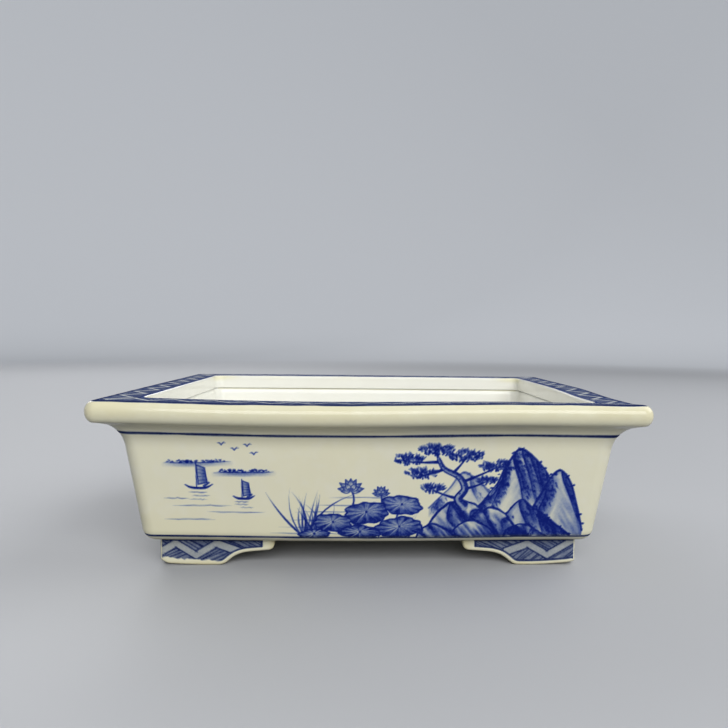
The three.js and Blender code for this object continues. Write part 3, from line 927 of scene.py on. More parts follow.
def paint_foot(canvas, outline, pad_end, flip):
    """The panel of one arm. flip turns the hatching, so that it leans alike on both feet of a side."""
    rng = canvas.rng
    inner_end = outline[0, 0] - FOOT_TAIL_BORDER
    s, v = canvas.along, canvas.up
    gap = np.min([near_line(a, b, s, v)[0] for a, b in zip(outline[:-1:2], outline[2::2])], 0)
    tail = soft_edge(inner_end - s, FINE_BLUR)
    ragged = 0 if flip else 1.2 * noise(s, 2, 1.5, rng.integers(99)) * ease((pad_end - s) / 4)
    corner = soft_edge(s - FOOT_CORNER_BORDER, FINE_BLUR)
    canvas.clip = soft_edge(gap - FOOT_BORDER - ragged, 0.5) * tail * corner
    end = pad_end + (FLIPPED_PAST_PAD if flip else ZIGZAG_PAST_PAD)
    corners = [(end - back, height + rng.normal(0, 0.12))
               for back, height in (FLIPPED_ZIGZAG if flip else FOOT_ZIGZAG)]
    canvas.put(FOOT_GROUND[0] + FOOT_GROUND[1] * noise(s, v, 6, 3))
    zigzag(canvas, corners, FOOT_BAND, FLIPPED_HATCH if flip else FOOT_HATCH, FOOT_WASH)
    canvas.clip = corner
    edge_line = soft_edge(0.4 - np.abs(gap - FOOT_BORDER - 0.1), FINE_BLUR) * tail
    if not flip:
        edge_line = edge_line * ease((s - pad_end) / 3)
    canvas.put(edge_line * (0.72 + 0.28 * noise(s, v, 4, 6)))
    tail_line = [(inner_end, FLOOR_UNDER), (inner_end - 0.1, TAIL_UNDER + FOOT_BORDER + 0.6)]
    canvas.stroke(tail_line, FOOT_LINE, 0.95)
    line_z = FLOOR_UNDER - FOOT_LINE_DROP
    canvas.stroke([(0, line_z), (inner_end, line_z)], FOOT_LINE, 0.9)


# Depths on the rim count from its nose inwards. A line has a depth, a width and a tone.
RIM_LINES = ((3.9, 2.4, 1.0), (19.5, 1.0, 0.9))
RIM_PANEL = (4.2, 19.3)
RIM_GROUND = (0.16, 0.12)
RIM_BAND = (5.6, 14.2)
RIM_BAND_WIDTH = 3.8
RIM_PERIOD = 19.6
RIM_WASH = 0.4
RIM_MITRE_LINE = 1.2
RIM_MITRE_TONE = 0.75


def paint_rim(side, canvas):
    rng = canvas.rng
    half = SIDES[side]["half"][0]
    s, depth = canvas.along, canvas.up
    panel = soft_edge(depth - RIM_PANEL[0], FINE_BLUR) * soft_edge(RIM_PANEL[1] - depth, FINE_BLUR)
    held = canvas.keep_to(panel)
    canvas.put(RIM_GROUND[0] + RIM_GROUND[1] * noise(s, depth, 8, rng.integers(99)))
    places = np.linspace(-half, half, 4 * round(half / RIM_PERIOD) + 1)
    depths = np.where(np.arange(len(places)) % 2, *RIM_BAND) + rng.normal(0, 0.2, len(places))
    zigzag(canvas, np.column_stack([places, depths]), RIM_BAND_WIDTH, RIM_HATCH, RIM_WASH)
    canvas.put(soft_edge(np.abs(s) + depth - half + RIM_MITRE_LINE, 0.5) * RIM_MITRE_TONE)
    canvas.clip = held
    for level, width, tone in RIM_LINES:
        border_line(canvas, level, width, tone, wander=0.3)


UPPER_LINE = 68.45
LOWER_LINE = 17.1


def paint_wall(side, canvas):
    border_line(canvas, UPPER_LINE, 1.0, 1.0, lift=1.2, swell=0.5)
    border_line(canvas, LOWER_LINE, 0.95, 0.95, lift=0.9, swell=0.4)
    above, below = soft_edge(canvas.up - LOWER_LINE, FINE_BLUR), soft_edge(UPPER_LINE - canvas.up, FINE_BLUR)
    canvas.keep_to(above * below)
    for motif, *values in PICTURES[side]:
        motif(canvas, *values)


# Glaze: a clear gloss over warm white porcelain, with cobalt under it. Thin glaze at the edges lets a warm
# tint through, and bare clay shows where the pot stood in the kiln and in the drain holes. The meshes carry
# four fields for it: ink is the cobalt's density, navy picks the darker cobalt, bare is the bare clay, and
# warm runs from 0, the white of the inside, over OUTSIDE to 1, a warm tan. On the tails of the feet, warm
# also darkens them as painted shade.
OUTSIDE = 0.4
WHITE = (0.86, 0.855, 0.785)
IVORY = (0.815, 0.785, 0.57)
WARM = (0.72, 0.655, 0.39)
COOL_DRIFT = (0.7, 0.8, 0.9)
TAN_CLOUD = (0.6, 0.55, 0.4)
IRON = (0.16, 0.10, 0.06)
SPECK_SCALE = 95
SPECK_RARITY = 0.965
COBALT = (4.8, 3.85, 1.15)
NAVY = (3.9, 3.4, 1.8)
RAMP_STOPS = 12
DARK_CLAY = (0.527, 0.442, 0.34)
PALE_CLAY = (0.682, 0.572, 0.44)
CLAY_ROUGHNESS = 0.55
GLAZE_SPECULAR = 0.34


class Nodes:
    """A short way to add shader nodes to a material or world and join them."""

    def __init__(self, owner):
        self.tree = owner.node_tree

    def join(self, socket, value):
        if isinstance(value, bpy.types.NodeSocket):
            self.tree.links.new(value, socket)
        else:
            socket.default_value = (*value, 1) if isinstance(value, tuple) else value

    def feed(self, node, **inputs):
        """Gives a node's inputs a value or another node's output. _ stands for a space in an input's name."""
        for label, value in inputs.items():
            self.join(node.inputs[label.replace("_", " ")], value)
        return node

    def add(self, kind, **settings):
        node = self.tree.nodes.new(kind)
        for key, value in settings.items():
            setattr(node, key, value)
        return node

    def seen(self):
        """1 for rays that see a surface directly, mirrored or through glass, and 0 for light that bounces."""
        path = self.add("ShaderNodeLightPath")
        seen = self.math("MAXIMUM", path.outputs["Is Camera Ray"], path.outputs["Is Glossy Ray"])
        return self.math("MAXIMUM", seen, path.outputs["Is Transmission Ray"])

    def field(self, name):
        return self.add("ShaderNodeAttribute", attribute_name=name).outputs["Fac"]

    def noise(self, place, scale, detail, rough=0.5):
        node = self.add("ShaderNodeTexNoise")
        return self.feed(node, Vector=place, Scale=scale, Detail=detail, Roughness=rough).outputs["Fac"]

    def spread(self, value, low, high, to_low=0.0, to_high=1.0):
        """A value stretched from one range to another, with soft ends."""
        node = self.add("ShaderNodeMapRange", interpolation_type="SMOOTHSTEP")
        self.feed(node, Value=value, From_Min=low, From_Max=high, To_Min=to_low, To_Max=to_high)
        return node.outputs["Result"]

    def cloud(self, place, texture, *ranges):
        """Noise of a scale, detail and roughness, stretched from one range to another."""
        return self.spread(self.noise(place, *texture), *ranges)

    def math(self, operation, a, b):
        node = self.add("ShaderNodeMath", operation=operation)
        self.join(node.inputs[0], a)
        self.join(node.inputs[1], b)
        return node.outputs["Value"]

    def mix(self, factor, a, b, blend="MIX"):
        node = self.add("ShaderNodeMix", data_type="RGBA", blend_type=blend)
        return self.feed(node, Factor=factor, A=a, B=b).outputs["Result"]


def cobalt_ramp(nodes, density, strength):
    """Light passes through the cobalt twice, so each colour fades as a power of the density."""
    ramp = nodes.add("ShaderNodeValToRGB")
    elements = ramp.color_ramp.elements
    while len(elements) < RAMP_STOPS:
        elements.new(0.5)
    for element, depth in zip(elements, np.linspace(0, 1, RAMP_STOPS)):
        element.position = depth
        element.color = (*np.exp(-depth * np.array(strength)), 1)
    return nodes.feed(ramp, Fac=density).outputs["Color"]


def glaze_material(name):
    material = bpy.data.materials.new(name)
    material.use_nodes = True
    nodes = Nodes(material)
    shader = material.node_tree.nodes["Principled BSDF"]
    place = nodes.add("ShaderNodeTexCoord").outputs["Object"]

    # Body colour: slow drifts of warm and cool, thinner glaze at the edges, and a few iron specks.
    thin = nodes.math("MULTIPLY", nodes.field("warm"), nodes.cloud(place, (130, 3), 0.2, 0.6, 0.85, 1.1))
    body = nodes.mix(nodes.spread(thin, 0, OUTSIDE), WHITE, IVORY)
    body = nodes.mix(nodes.spread(thin, OUTSIDE, 1), body, WARM)
    body = nodes.mix(nodes.cloud(place, (14, 2), 0.35, 0.7, 0, 0.06), body, COOL_DRIFT)
    body = nodes.mix(nodes.cloud(place, (60, 3), 0.3, 0.75, 0, 0.05), body, TAN_CLOUD)
    cells = nodes.feed(nodes.add("ShaderNodeTexVoronoi", feature="F1"), Vector=place, Scale=SPECK_SCALE)
    chosen = nodes.math("GREATER_THAN", nodes.spread(cells.outputs["Color"], 0, 1), SPECK_RARITY)
    near = nodes.spread(cells.outputs["Distance"], 0.02, 0.045, 1, 0)
    body = nodes.mix(nodes.math("MULTIPLY", chosen, near), body, IRON)

    # Cobalt: the brush's density broken by grain, and heaped dark where it is thick.
    ink = nodes.field("ink")
    grain = nodes.cloud(place, (900, 3, 0.6), 0.25, 0.75, 0.82, 1.14)
    heaps = nodes.cloud(place, (380, 2), 0.55, 0.7, 0, 0.25)
    heaped = nodes.math("MULTIPLY", heaps, nodes.spread(ink, 0.5, 0.9))
    density = nodes.math("ADD", nodes.math("MULTIPLY", ink, grain), heaped)
    ramps = [cobalt_ramp(nodes, density, strength) for strength in (COBALT, NAVY)]
    painted = nodes.mix(1, body, nodes.mix(nodes.field("navy"), *ramps), "MULTIPLY")

    # Bare clay, and the gloss that it lacks.
    bare = nodes.field("bare")
    clay = nodes.mix(nodes.noise(place, 400, 4, 0.6), DARK_CLAY, PALE_CLAY)
    gloss = nodes.cloud(place, (45, 3), 0.3, 0.7, 0.09, 0.16)
    gloss = nodes.math("ADD", gloss, nodes.math("MULTIPLY", bare, CLAY_ROUGHNESS))

    # Relief: the glaze's soft ripple, and the tooth of bare clay.
    ripple = nodes.feed(nodes.add("ShaderNodeBump"), Strength=0.25, Distance=0.0004,
                        Height=nodes.noise(place, 110, 2, 0.4))
    tooth = nodes.feed(nodes.add("ShaderNodeBump"), Distance=0.0002, Normal=ripple.outputs["Normal"],
                       Strength=nodes.math("MULTIPLY", bare, 0.8), Height=nodes.noise(place, 1500, 3, 0.6))

    # The specular level keeps its value beside the link, for readers that can't follow the link.
    nodes.feed(shader, Specular_IOR_Level=GLAZE_SPECULAR)
    nodes.feed(shader, Specular_IOR_Level=nodes.spread(ink, 0, 0.5, GLAZE_SPECULAR, 0), Roughness=gloss,
               Base_Color=nodes.mix(bare, painted, clay), Normal=tooth.outputs["Normal"])
    return material


body_glaze, foot_glaze = glaze_material("glaze_body"), glaze_material("glaze_foot")


# Mesh making.

def add_object(name, data):
    thing = bpy.data.objects.new(name, data)
    bpy.context.collection.objects.link(thing)
    return thing


def mesh_piece(name, node, points, faces, smooth_count, material, fields):
    """A piece from points in millimetres. The first smooth_count faces are shaded smooth, and fields become
    attributes of its points."""
    mesh = bpy.data.meshes.new(name)
    flat = handmade(np.asarray(points, float)) * MM
    mesh.vertices.add(len(flat))
    mesh.vertices.foreach_set("co", flat.ravel())
    sizes = np.array([len(f) for f in faces])
    mesh.loops.add(int(sizes.sum()))
    mesh.loops.foreach_set("vertex_index", np.concatenate([np.asarray(f) for f in faces]).astype(np.int32))
    mesh.polygons.add(len(sizes))
    mesh.polygons.foreach_set("loop_start", np.concatenate([[0], np.cumsum(sizes)[:-1]]).astype(np.int32))
    mesh.update(calc_edges=True)
    mesh.validate()
    mesh.polygons.foreach_set("use_smooth", np.arange(len(sizes)) < smooth_count)
    for field, values in fields.items():
        attribute = mesh.attributes.new(field, "FLOAT", "POINT")
        attribute.data.foreach_set("value", np.asarray(values, np.float32).ravel())
    mesh.materials.append(material)
    piece = add_object(name, mesh)
    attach(piece, "root")
    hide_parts(node)


def grid_faces(rows, columns, loop):
    """Quads over rows of points, closing from the last row to the first when loop is set."""
    r = np.arange(rows if loop else rows - 1)
    c = np.arange(columns - 1)
    a = (r[:, None] * columns + c).ravel()
    b = (((r + 1) % rows)[:, None] * columns + c).ravel()
    return np.column_stack([a, a + 1, b + 1, b])


def end_faces(rows, columns):
    """The two flat ends of a grid whose rows go round a section."""
    first = np.arange(rows) * columns
    return [first, (first + columns - 1)[::-1]]


def line_navy(up):
    """1 at the border lines, which were drawn with a darker cobalt than the picture, and 0 away from them."""
    return ease(1.5 - np.minimum(np.abs(up - LOWER_LINE), np.abs(up - UPPER_LINE)))


def slab_piece(name, parts, fields):
    """A mitred slab: rows of points round its section, with flat ends."""
    grid = np.concatenate(parts)
    rows, columns = grid.shape[:2]
    quads = grid_faces(rows, columns, True)
    faces = [*quads, *end_faces(rows, columns)]
    mesh_piece(f"{name}_piece", name, grid.reshape(-1, 3), faces, len(quads), body_glaze, fields)


# The floor: a rounded edge all round, and flat sheets above and below with the drain holes between them. One
# ring under the walls keeps the paint of the edge off the inside.
HIDDEN_SHARE = 0.97
SHEET_SPREAD = 9.0
SHEET_INSET = 34
DRAIN_TINT, DRAIN_TINT_REACH = 0.3, 3
EDGE_TINT, EDGE_TINT_TOP, EDGE_TINT_SPAN = 0.6, 15.6, 1.2
EDGE_PATCH_SIZE = 4


def drain_distance(x, y):
    return np.minimum(*(np.hypot(x - side * DRAIN_PLACE, y) for side in (-1, 1)))


def flat_sheet(rings):
    """Triangles over a flat outline with round holes. rings are the outline and the holes. Returns the spare
    points inside it, and the triangles as indices into the rings' points and then the spare ones."""
    spare = [
        (x, y)
        for x in np.arange(SHEET_INSET - LENGTH / 2, LENGTH / 2 - SHEET_INSET, SHEET_SPREAD)
        for y in np.arange(SHEET_INSET - DEPTH / 2, DEPTH / 2 - SHEET_INSET, SHEET_SPREAD)
        if drain_distance(x, y) > DRAIN_RADIUS + 2 * DRAIN_LIP
    ]
    points = [Vector(p[:2]) for ring in rings for p in ring] + [Vector(p) for p in spare]
    edges, start = [], 0
    for ring in rings:
        edges += [(start + i, start + (i + 1) % len(ring)) for i in range(len(ring))]
        start += len(ring)
    found, _, triangles, origin, _, _ = delaunay_2d_cdt(points, edges, [], 1, 1e-5)
    kept = []
    for triangle in triangles:
        middle = sum((found[i] for i in triangle), Vector((0, 0))) / 3
        if drain_distance(*middle) > DRAIN_RADIUS + DRAIN_LIP:
            kept.append([origin[i][0] for i in triangle])
    return spare, kept


def ring_quads(index, outward):
    """Quads between rings of points, each ring closed on itself."""
    wrapped = np.concatenate([index, index[:, :1]], 1)
    a, b = wrapped[:-1], wrapped[1:]
    quads = np.stack([a[:, :-1], a[:, 1:], b[:, 1:], b[:, :-1]], -1).reshape(-1, 4)
    return list(quads if outward else quads[:, ::-1])


def drain_bore():
    """The section of a drain hole as radius and height, from its lower lip to its upper one."""
    low, high = (FLOOR_UNDER + DRAIN_LIP, 270, 180), (FLOOR_TOP - DRAIN_LIP, 180, 90)
    return np.concatenate([
        arc((DRAIN_RADIUS + DRAIN_LIP, z), DRAIN_LIP, start, end, PAINT_STEP)
        for z, start, end in (low, high)])


def make_floor(rings, ink):
    hidden = rings[-1] * (HIDDEN_SHARE, HIDDEN_SHARE, 1)
    rings = np.concatenate([rings, hidden[None]])
    rows, columns = rings.shape[:2]
    count = rows * columns
    points = [rings.reshape(-1, 3)]
    faces = ring_quads(np.arange(count).reshape(rows, columns), True)
    angles = np.linspace(0, math.tau, DRAIN_SIDES, endpoint=False)
    circle = np.column_stack([np.cos(angles), np.sin(angles)])
    low_rings, high_rings = [], []
    for side in (-1, 1):
        bore = np.array([
            np.column_stack([(side * DRAIN_PLACE, 0) + r * circle, np.full(DRAIN_SIDES, z)])
            for r, z in drain_bore()])
        index = count + np.arange(len(bore) * DRAIN_SIDES).reshape(-1, DRAIN_SIDES)
        faces += ring_quads(index, False)
        points.append(bore.reshape(-1, 3))
        low_rings.append((bore[0], index[0]))
        high_rings.append((bore[-1], index[-1]))
        count += index.size
    for row, holes, z, up in ((0, low_rings, FLOOR_UNDER, False), (rows - 1, high_rings, FLOOR_TOP, True)):
        spare, triangles = flat_sheet([rings[row], *(hole for hole, _ in holes)])
        outline = row * columns + np.arange(columns)
        lookup = np.concatenate([outline, *(index for _, index in holes), count + np.arange(len(spare))])
        faces += [list(lookup[t] if up else lookup[t][::-1]) for t in triangles]
        points.append(np.column_stack([np.array(spare), np.full(len(spare), z)]))
        count += len(spare)
    points = np.concatenate(points)
    painted = np.zeros(count)
    painted[: ink.size] = ink.ravel()
    drained = drain_distance(points[:, 0], points[:, 1])
    bare = ease((DRAIN_RADIUS + 0.6 * DRAIN_LIP - drained) / (0.5 * DRAIN_LIP))
    warm = DRAIN_TINT * ease(1 - (drained - DRAIN_RADIUS - DRAIN_LIP) / DRAIN_TINT_REACH)
    warm += OUTSIDE * ease((FLOOR_TOP - points[:, 2]) / 2)
    x, y, z = points[: ink.size].T
    patches = ease((noise(x, y, EDGE_PATCH_SIZE, 31) - 0.6) / 0.15)
    warm[: ink.size] = OUTSIDE + EDGE_TINT * patches * ease((EDGE_TINT_TOP - z) / EDGE_TINT_SPAN)
    fields = {"ink": painted, "navy": line_navy(points[:, 2]), "warm": warm, "bare": bare}
    mesh_piece("floor", "floor_slab", points, faces, len(faces), body_glaze, fields)


# Feet: the way that each one's arms run along X and Y, how far its pad lifts, how far its toe is rounded up
# and how much its arms are trimmed.
FEET = (
    ("foot_front_left", 1, 1, 1.0, 0.75, 0.8),
    ("foot_front_right", -1, 1, 1.5, 0.2, 0.1),
    ("foot_back_left", 1, -1, 0.5, 0.6, 0.3),
    ("foot_back_right", -1, -1, 0.4, 0.7, 0.5),
)
FOOT_STEP = 0.35
TAIL_STEP = 0.3
TAIL_ROUND = 0.4
PAD_LIFT_SHARE = 0.8
TOE_REACH = 3.0
TOE_BULGE = 0.9
PAD_ROWS = 4
INNER_ROW_GAP = 5
FOOT_CORNER_STEPS = 5
LEAST_FOOT_CORNER = 0.3
# The tails of the feet turn warmer and darker towards their ends: partly thin glaze, partly painted shade for
# the shadow under the body.
TAIL_SHADE_TINT, TAIL_SHADE_START, TAIL_SHADE_SPAN = 0.45, 6, 5
PAD_TINT, PAD_TINT_TOP, PAD_TINT_SPAN = 0.35, 3.2, 2.6
PAD_BARE_TOP, PAD_BARE_SPAN = 1.6, 0.8


def foot_outline(length, pad_end, lift, toe):
    """The lower edge of one arm, from the top of its tail's end round to the pad, as distance and height.
    The pad lifts off the table a little towards the pot's corner, and its toe there is rounded off."""
    tail_z = TAIL_UNDER + TAIL_RISE
    end_low, pull = (length, tail_z + TAIL_END), TAIL_END * TAIL_ROUND
    corner = bezier([end_low, (length, tail_z + pull), (length - pull, tail_z), (length - TAIL_END, tail_z)],
                    TAIL_STEP)
    ogee_end = (pad_end + OGEE_LENGTH, TAIL_UNDER)
    ogee = bezier([ogee_end, (pad_end + OGEE_HEEL_REACH, TAIL_UNDER - OGEE_HEEL_DROP),
                   (pad_end + OGEE_TOE_REACH, 0), (pad_end, 0)], FOOT_STEP)
    pad = line((pad_end, 0), (FOOT_CORNER, 0), FOOT_STEP)
    pad[:, 1] = lift * np.clip(1 - pad[:, 0] / (PAD_LIFT_SHARE * pad_end), 0, 1) ** 1.5
    pad[:, 1] += toe * np.clip(1 - (pad[:, 0] - FOOT_CORNER) / TOE_REACH, 0, 1) ** 2
    return np.concatenate([
        line((length, FLOOR_UNDER), end_low, FOOT_STEP), corner[1:],
        line(corner[-1], ogee_end, FOOT_STEP)[1:], ogee[1:], pad[1:]])


def foot_arm(outline):
    """Rows of one arm from its tail to the mitre in the corner. A row is at one place round the section:
    down the outer face, under the foot and up the inner face. Each has distance, depth and height."""
    tangent = np.gradient(outline, axis=0)
    tangent /= np.linalg.norm(tangent, axis=1)[:, None]
    inward = np.column_stack([tangent[:, 1], -tangent[:, 0]])
    inward[outline[:, 1] <= 0] = (0, 1)
    inward[0] = (-1, 0)
    raised = outline + inward * FOOT_EDGE
    raised[0] = (outline[0, 0] - FOOT_EDGE, FLOOR_UNDER)
    raised[:, 1] = np.minimum(raised[:, 1], FLOOR_UNDER)
    travel = np.concatenate([[0], np.cumsum(np.linalg.norm(np.diff(outline, axis=0), axis=1))])
    top_along = raised[0, 0] + (FOOT_CORNER - raised[0, 0]) * travel / travel[-1]

    def face(depth, shares):
        return [(top_along * (1 - t) + raised[:, 0] * t, depth, FLOOR_UNDER * (1 - t) + raised[:, 1] * t)
                for t in shares]

    def edge(bend):
        at = outline + inward * FOOT_EDGE * (1 - math.sin(bend))
        return at[:, 0], FOOT_EDGE * (1 - math.cos(bend)), at[:, 1]

    shares = np.linspace(0, 1, FACE_ROWS)
    edges = [edge(bend) for bend in np.radians(np.linspace(0, 90, EDGE_ROWS + 1))[1:]]
    pads = np.linspace(FOOT_EDGE, FOOT_THICKNESS - FOOT_EDGE, PAD_ROWS + 1)[1:]
    return [
        *face(0, shares), *edges,
        *((outline[:, 0], depth, outline[:, 1]) for depth in pads),
        *((along, FOOT_THICKNESS - depth, height) for along, depth, height in edges[-2::-1]),
        *face(FOOT_THICKNESS, shares[::-INNER_ROW_GAP])]


def foot_half(length, pad_end, lift, toe):
    """One arm's grid of points in the foot's own plan, with the rounded outer corner as far as the mitre,
    the distance of each point along the arm, and the arm's outline."""
    outline = foot_outline(length, pad_end, lift, toe)
    turn = np.radians([*np.linspace(0, 45, FOOT_CORNER_STEPS + 1)[1:-1], 44, 45])
    bulge = toe * np.sin(2 * turn) * TOE_BULGE
    grid, distances = [], []
    for along, depth, height in foot_arm(outline):
        radius = max(FOOT_CORNER - depth, LEAST_FOOT_CORNER)
        start = depth + radius
        squeeze = np.clip((pad_end - along) / (pad_end - FOOT_CORNER), 0, None)
        x = along + squeeze * (start - FOOT_CORNER)
        grid.append(np.column_stack([
            np.concatenate([x, start - radius * np.sin(turn)]),
            np.concatenate([np.full(len(x), depth), start - radius * np.cos(turn)]),
            np.concatenate([height, height[-1] + bulge * (FLOOR_UNDER - height[-1]) / FLOOR_UNDER])]))
        distances.append(np.concatenate([x, start - radius * turn]))
    return np.array(grid), np.array(distances), outline


def make_foot(name, x_sign, y_sign, lift, toe, trim, seed):
    rng = np.random.default_rng(seed)
    low, high = (np.array(corner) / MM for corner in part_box(name))
    corner = (low[0] if x_sign > 0 else high[0], low[1] if y_sign > 0 else high[1], 0)
    arms, inks, warms = [], [], []
    turned = x_sign * y_sign < 0
    for length, pad_end, flip in zip(high - low, (FRONT_PAD, SIDE_PAD), (turned, not turned)):
        grid, distances, outline = foot_half(length - trim, pad_end, lift, toe)
        canvas = Canvas(distances, grid[..., 2], rng)
        paint_foot(canvas, outline, pad_end, flip)
        canvas.ink[FACE_ROWS + EDGE_ROWS - 2:] = 0
        arms.append(grid)
        inks.append(canvas.ink)
        # Painted shade: each tail's end is tinted warmer and darker, partly for thin glaze and partly for the
        # shadow under the body.
        tail = ease((distances - length + TAIL_SHADE_START) / TAIL_SHADE_SPAN)
        warms.append(TAIL_SHADE_TINT * tail + PAD_TINT * ease((PAD_TINT_TOP - grid[..., 2]) / PAD_TINT_SPAN))
    grid = np.concatenate([arms[0], arms[1][:, -2::-1][..., [1, 0, 2]]], 1)
    ink, warm = (np.concatenate([arm[0], arm[1][:, -2::-1]], 1) for arm in (inks, warms))
    under = slice(FACE_ROWS + EDGE_ROWS - 1, FACE_ROWS + EDGE_ROWS + PAD_ROWS + 1)
    bare = np.zeros(grid.shape[:2])
    bare[under] = ease((PAD_BARE_TOP - grid[under, :, 2]) / PAD_BARE_SPAN)
    rows, columns = grid.shape[:2]
    quads = grid_faces(rows, columns, False)
    front = np.arange(columns - 1)
    back = (rows - 1) * columns + front
    faces = [*quads, *np.column_stack([front, back, back + 1, front + 1]), *end_faces(rows, columns)]
    points = grid.reshape(-1, 3) * (x_sign, y_sign, 1) + corner
    if not turned:
        faces = [f[::-1] for f in faces]
    fields = {"ink": ink, "navy": np.ones(ink.shape), "warm": OUTSIDE + warm, "bare": bare}
    mesh_piece(f"{name}_piece", name, points, faces, len(quads), foot_glaze, fields)


# Walls and rim strips.

SEAM_TINT = {"front": 0.45, "back": 0.45, "left": 0.1, "right": 0.2}
SEAM_TINT_REACH = 1.4
# The face is paler between its ends, which fade over these heights.
FACE_PALER, PALER_LOW, PALER_HIGH = 0.1, 10, 6
# Depth on the rim where the outside's tint ends, and the way that it takes to fade.
OUTSIDE_END, OUTSIDE_FADE = 20.5, 3
OPENING_FADE_START, OPENING_FADE = 3, 8
PATCH_SIZE, PATCH_TINT, CORNER_TINT = 17, 0.25, 0.5
NOSE_TINT, NOSE_TINT_RISE, NOSE_PATCHES = 0.17, 3, 0.12


def make_walls():
    low_rings, low_inks = [], []
    for number, side in enumerate(SIDES):
        low, low_s = side_rows(side, lower_edge(), floor_radius)
        face, face_s = side_rows(side, wall_face(), wall_radius)
        inside, _ = side_rows(side, wall_inside(), inner_radius)
        canvas = Canvas(np.concatenate([low_s, face_s]), np.concatenate([low[..., 2], face[..., 2]]),
                        np.random.default_rng(SEED + number))
        paint_wall(side, canvas)
        face_z, inside_z = face[..., 2], inside[..., 2]
        paler = FACE_PALER * ease((face_z - FLOOR_TOP) / PALER_LOW) * ease((RIM_SEAT - face_z) / PALER_HIGH)
        seam = SEAM_TINT[side] * ease(1 - (RIM_SEAT - inside_z) / SEAM_TINT_REACH)
        navy = line_navy(np.concatenate([face_z, inside_z]))
        fields = {
            "ink": np.concatenate([canvas.ink[len(low):], np.zeros(inside_z.shape)]),
            "navy": navy,
            "warm": np.concatenate([OUTSIDE - paler, seam]),
            "bare": np.zeros(navy.shape),
        }
        slab_piece(f"wall_{side}", [face, inside], fields)
        low_rings.append(low[:, :-1])
        low_inks.append(canvas.ink[: len(low), :-1])
    make_floor(np.concatenate(low_rings, 1), np.concatenate(low_inks, 1))


def make_rims():
    profiles = (rim_nose(), rim_flat(), rim_opening())
    nose = slice(0, len(profiles[0]))
    for number, side in enumerate(SIDES):
        radii = (nose_radius, flat_radius, opening_radius)
        parts, distances = zip(*(side_rows(side, p, r) for p, r in zip(profiles, radii)))
        depths = np.concatenate(profiles)[:, :1] * np.ones(distances[0].shape[1])
        canvas = Canvas(np.concatenate(distances), depths, np.random.default_rng(SEED + 10 + number))
        canvas.clip[: nose.stop // 2] = 0
        paint_rim(side, canvas)
        z = np.concatenate(parts)[..., 2]
        opening = ease((depths - RIM_WIDTH + OPENING_EDGE) / OPENING_EDGE)
        opening = opening * ease((z - RIM_SEAT - OPENING_FADE_START) / OPENING_FADE)
        cornered = ease((np.abs(canvas.along) / (SIDES[side]["half"][0] - RIM_WIDTH) - 0.8) / 0.2)
        patches = PATCH_TINT * noise(canvas.along, z, PATCH_SIZE, 21 + number) + CORNER_TINT * cornered
        warm = OUTSIDE * ease((OUTSIDE_END - depths) / OUTSIDE_FADE) + opening * patches
        tint = NOSE_TINT * ease((z - RIM_SEAT) / NOSE_TINT_RISE) + NOSE_PATCHES * patches * cornered
        warm[nose] = OUTSIDE + tint[nose]
        fields = {"ink": canvas.ink, "navy": np.ones(z.shape), "warm": warm, "bare": np.zeros(z.shape)}
        slab_piece(f"rim_{side}", parts, fields)


make_walls()
make_rims()
for number, foot in enumerate(FEET):
    make_foot(*foot, SEED + 20 + number)


# Camera, from the photograph's view: a level phone about 0.3 m in front.

CAMERA_PLACE = (-0.00598, -0.38195, 0.11445)
CAMERA_YAW, CAMERA_PITCH, CAMERA_ROLL = -1.675, -2.848, 0.5615
FOCAL_LENGTH = 31.386
SENSOR_WIDTH = 36
SHIFT = (-0.0199, 0.0029)


def make_camera():
    data = bpy.data.cameras.new("camera")
    data.lens = FOCAL_LENGTH
    data.sensor_width = SENSOR_WIDTH
    data.sensor_fit = "HORIZONTAL"
    data.shift_x, data.shift_y = SHIFT
    data.clip_start = 0.01
    camera = add_object("camera", data)
    yaw, pitch, roll = (math.radians(a) for a in (CAMERA_YAW, CAMERA_PITCH, CAMERA_ROLL))
    turned = Matrix.Rotation(roll, 3, "Y") @ Matrix.Rotation(-pitch, 3, "X") @ Matrix.Rotation(-yaw, 3, "Z")
    right, forward, up = turned
    axes = Matrix((right, up, -forward)).transposed()
    camera.matrix_world = Matrix.Translation(CAMERA_PLACE) @ axes.to_4x4()
    bpy.context.scene.camera = camera


# Floor, backdrop and light. Lengths here are in metres.

STAGE_FLAT, STAGE_BEND, STAGE_TOP = 2.4, 0.8, 2.6
STAGE_SIDES = 96
STAGE_BEND_STEPS = 12
STAGE_ROUGHNESS = 0.6
STAGE_SHADE = (0.10, 0.10, 0.11)
STAGE_SEEN = (0.47, 0.48, 0.50)
STAGE_GLOW = 0.38
GLOW_START, GLOW_FULL = 1.7, 2.9
SKY = (0.80, 0.84, 0.90)
SKY_LIGHT, SKY_SEEN = 0.28, 0.55
# A lamp's name, place, size and power. They all point at LAMP_AIM.
LAMPS = (
    ("top", (1.5, 0.2, 1.3), (1.8, 1.8), 21),
    ("back", (-0.9, 1.6, 1.1), (1.8, 1.0), 15),
    ("front", (0.3, -1.6, 1.03), (2.0, 1.0), 32.8),
)
LAMP_AIM = Vector((0, 0, 0.05))


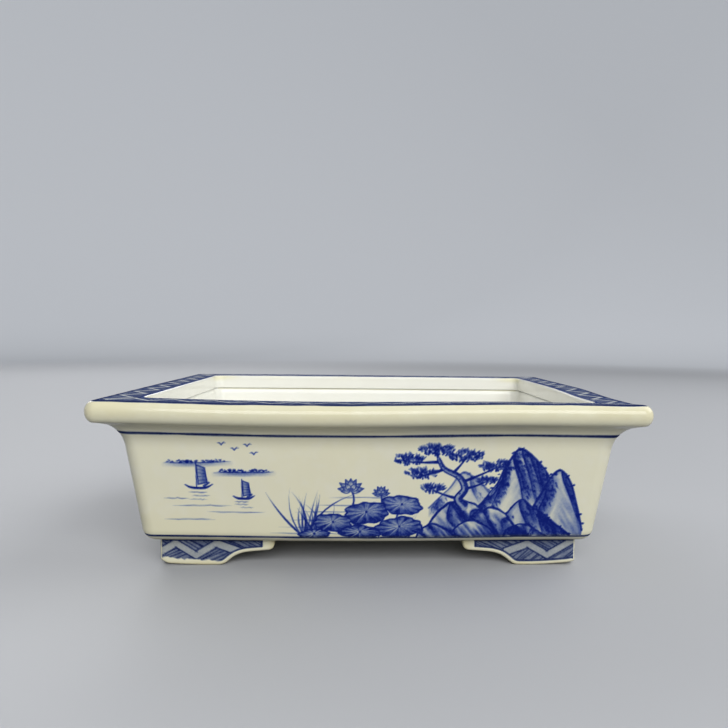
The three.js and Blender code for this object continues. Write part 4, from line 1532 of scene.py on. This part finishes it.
def stage_material():
    material = bpy.data.materials.new("stage")
    material.use_nodes = True
    nodes = Nodes(material)
    place = nodes.add("ShaderNodeTexCoord").outputs["Object"]
    away = nodes.feed(nodes.add("ShaderNodeVectorMath", operation="LENGTH"), Vector=place).outputs["Value"]
    glow = nodes.spread(away, GLOW_START, GLOW_FULL, 0, STAGE_GLOW)
    nodes.feed(material.node_tree.nodes["Principled BSDF"], Roughness=STAGE_ROUGHNESS, Emission_Color=SKY,
               Base_Color=nodes.mix(nodes.seen(), STAGE_SHADE, STAGE_SEEN),
               Emission_Strength=nodes.math("MULTIPLY", glow, nodes.seen()))
    return material


def make_stage():
    """A round studio floor that bends up into a wall on all sides."""
    angles = np.radians(np.linspace(0, 90, STAGE_BEND_STEPS + 1))
    profile = [(STAGE_FLAT + STAGE_BEND * math.sin(a), STAGE_BEND * (1 - math.cos(a))) for a in angles]
    profile.append((STAGE_FLAT + STAGE_BEND, STAGE_TOP))
    turns = np.linspace(0, math.tau, STAGE_SIDES, endpoint=False)
    points = [(r * math.cos(t), r * math.sin(t), z) for r, z in profile for t in turns]
    faces = [list(f) for f in ring_quads(np.arange(len(points)).reshape(-1, STAGE_SIDES), False)]
    faces.append(range(STAGE_SIDES))
    mesh = bpy.data.meshes.new("stage")
    mesh.from_pydata(points, [], faces)
    mesh.polygons.foreach_set("use_smooth", [len(f) == 4 for f in faces])
    mesh.materials.append(stage_material())
    add_object("stage", mesh)


def make_light():
    world = bpy.data.worlds.new("world")
    bpy.context.scene.world = world
    world.use_nodes = True
    nodes = Nodes(world)
    nodes.feed(world.node_tree.nodes["Background"], Color=SKY,
               Strength=nodes.spread(nodes.seen(), 0, 1, SKY_LIGHT, SKY_SEEN))
    for name, place, size, power in LAMPS:
        data = bpy.data.lights.new(name, "AREA")
        data.shape = "RECTANGLE"
        data.size, data.size_y = size
        data.energy = power
        lamp = add_object(name, data)
        lamp.location = place
        lamp.rotation_euler = (LAMP_AIM - Vector(place)).to_track_quat("-Z", "Y").to_euler()


make_camera()
make_stage()
make_light()
bpy.context.scene.view_settings.view_transform = "Standard"
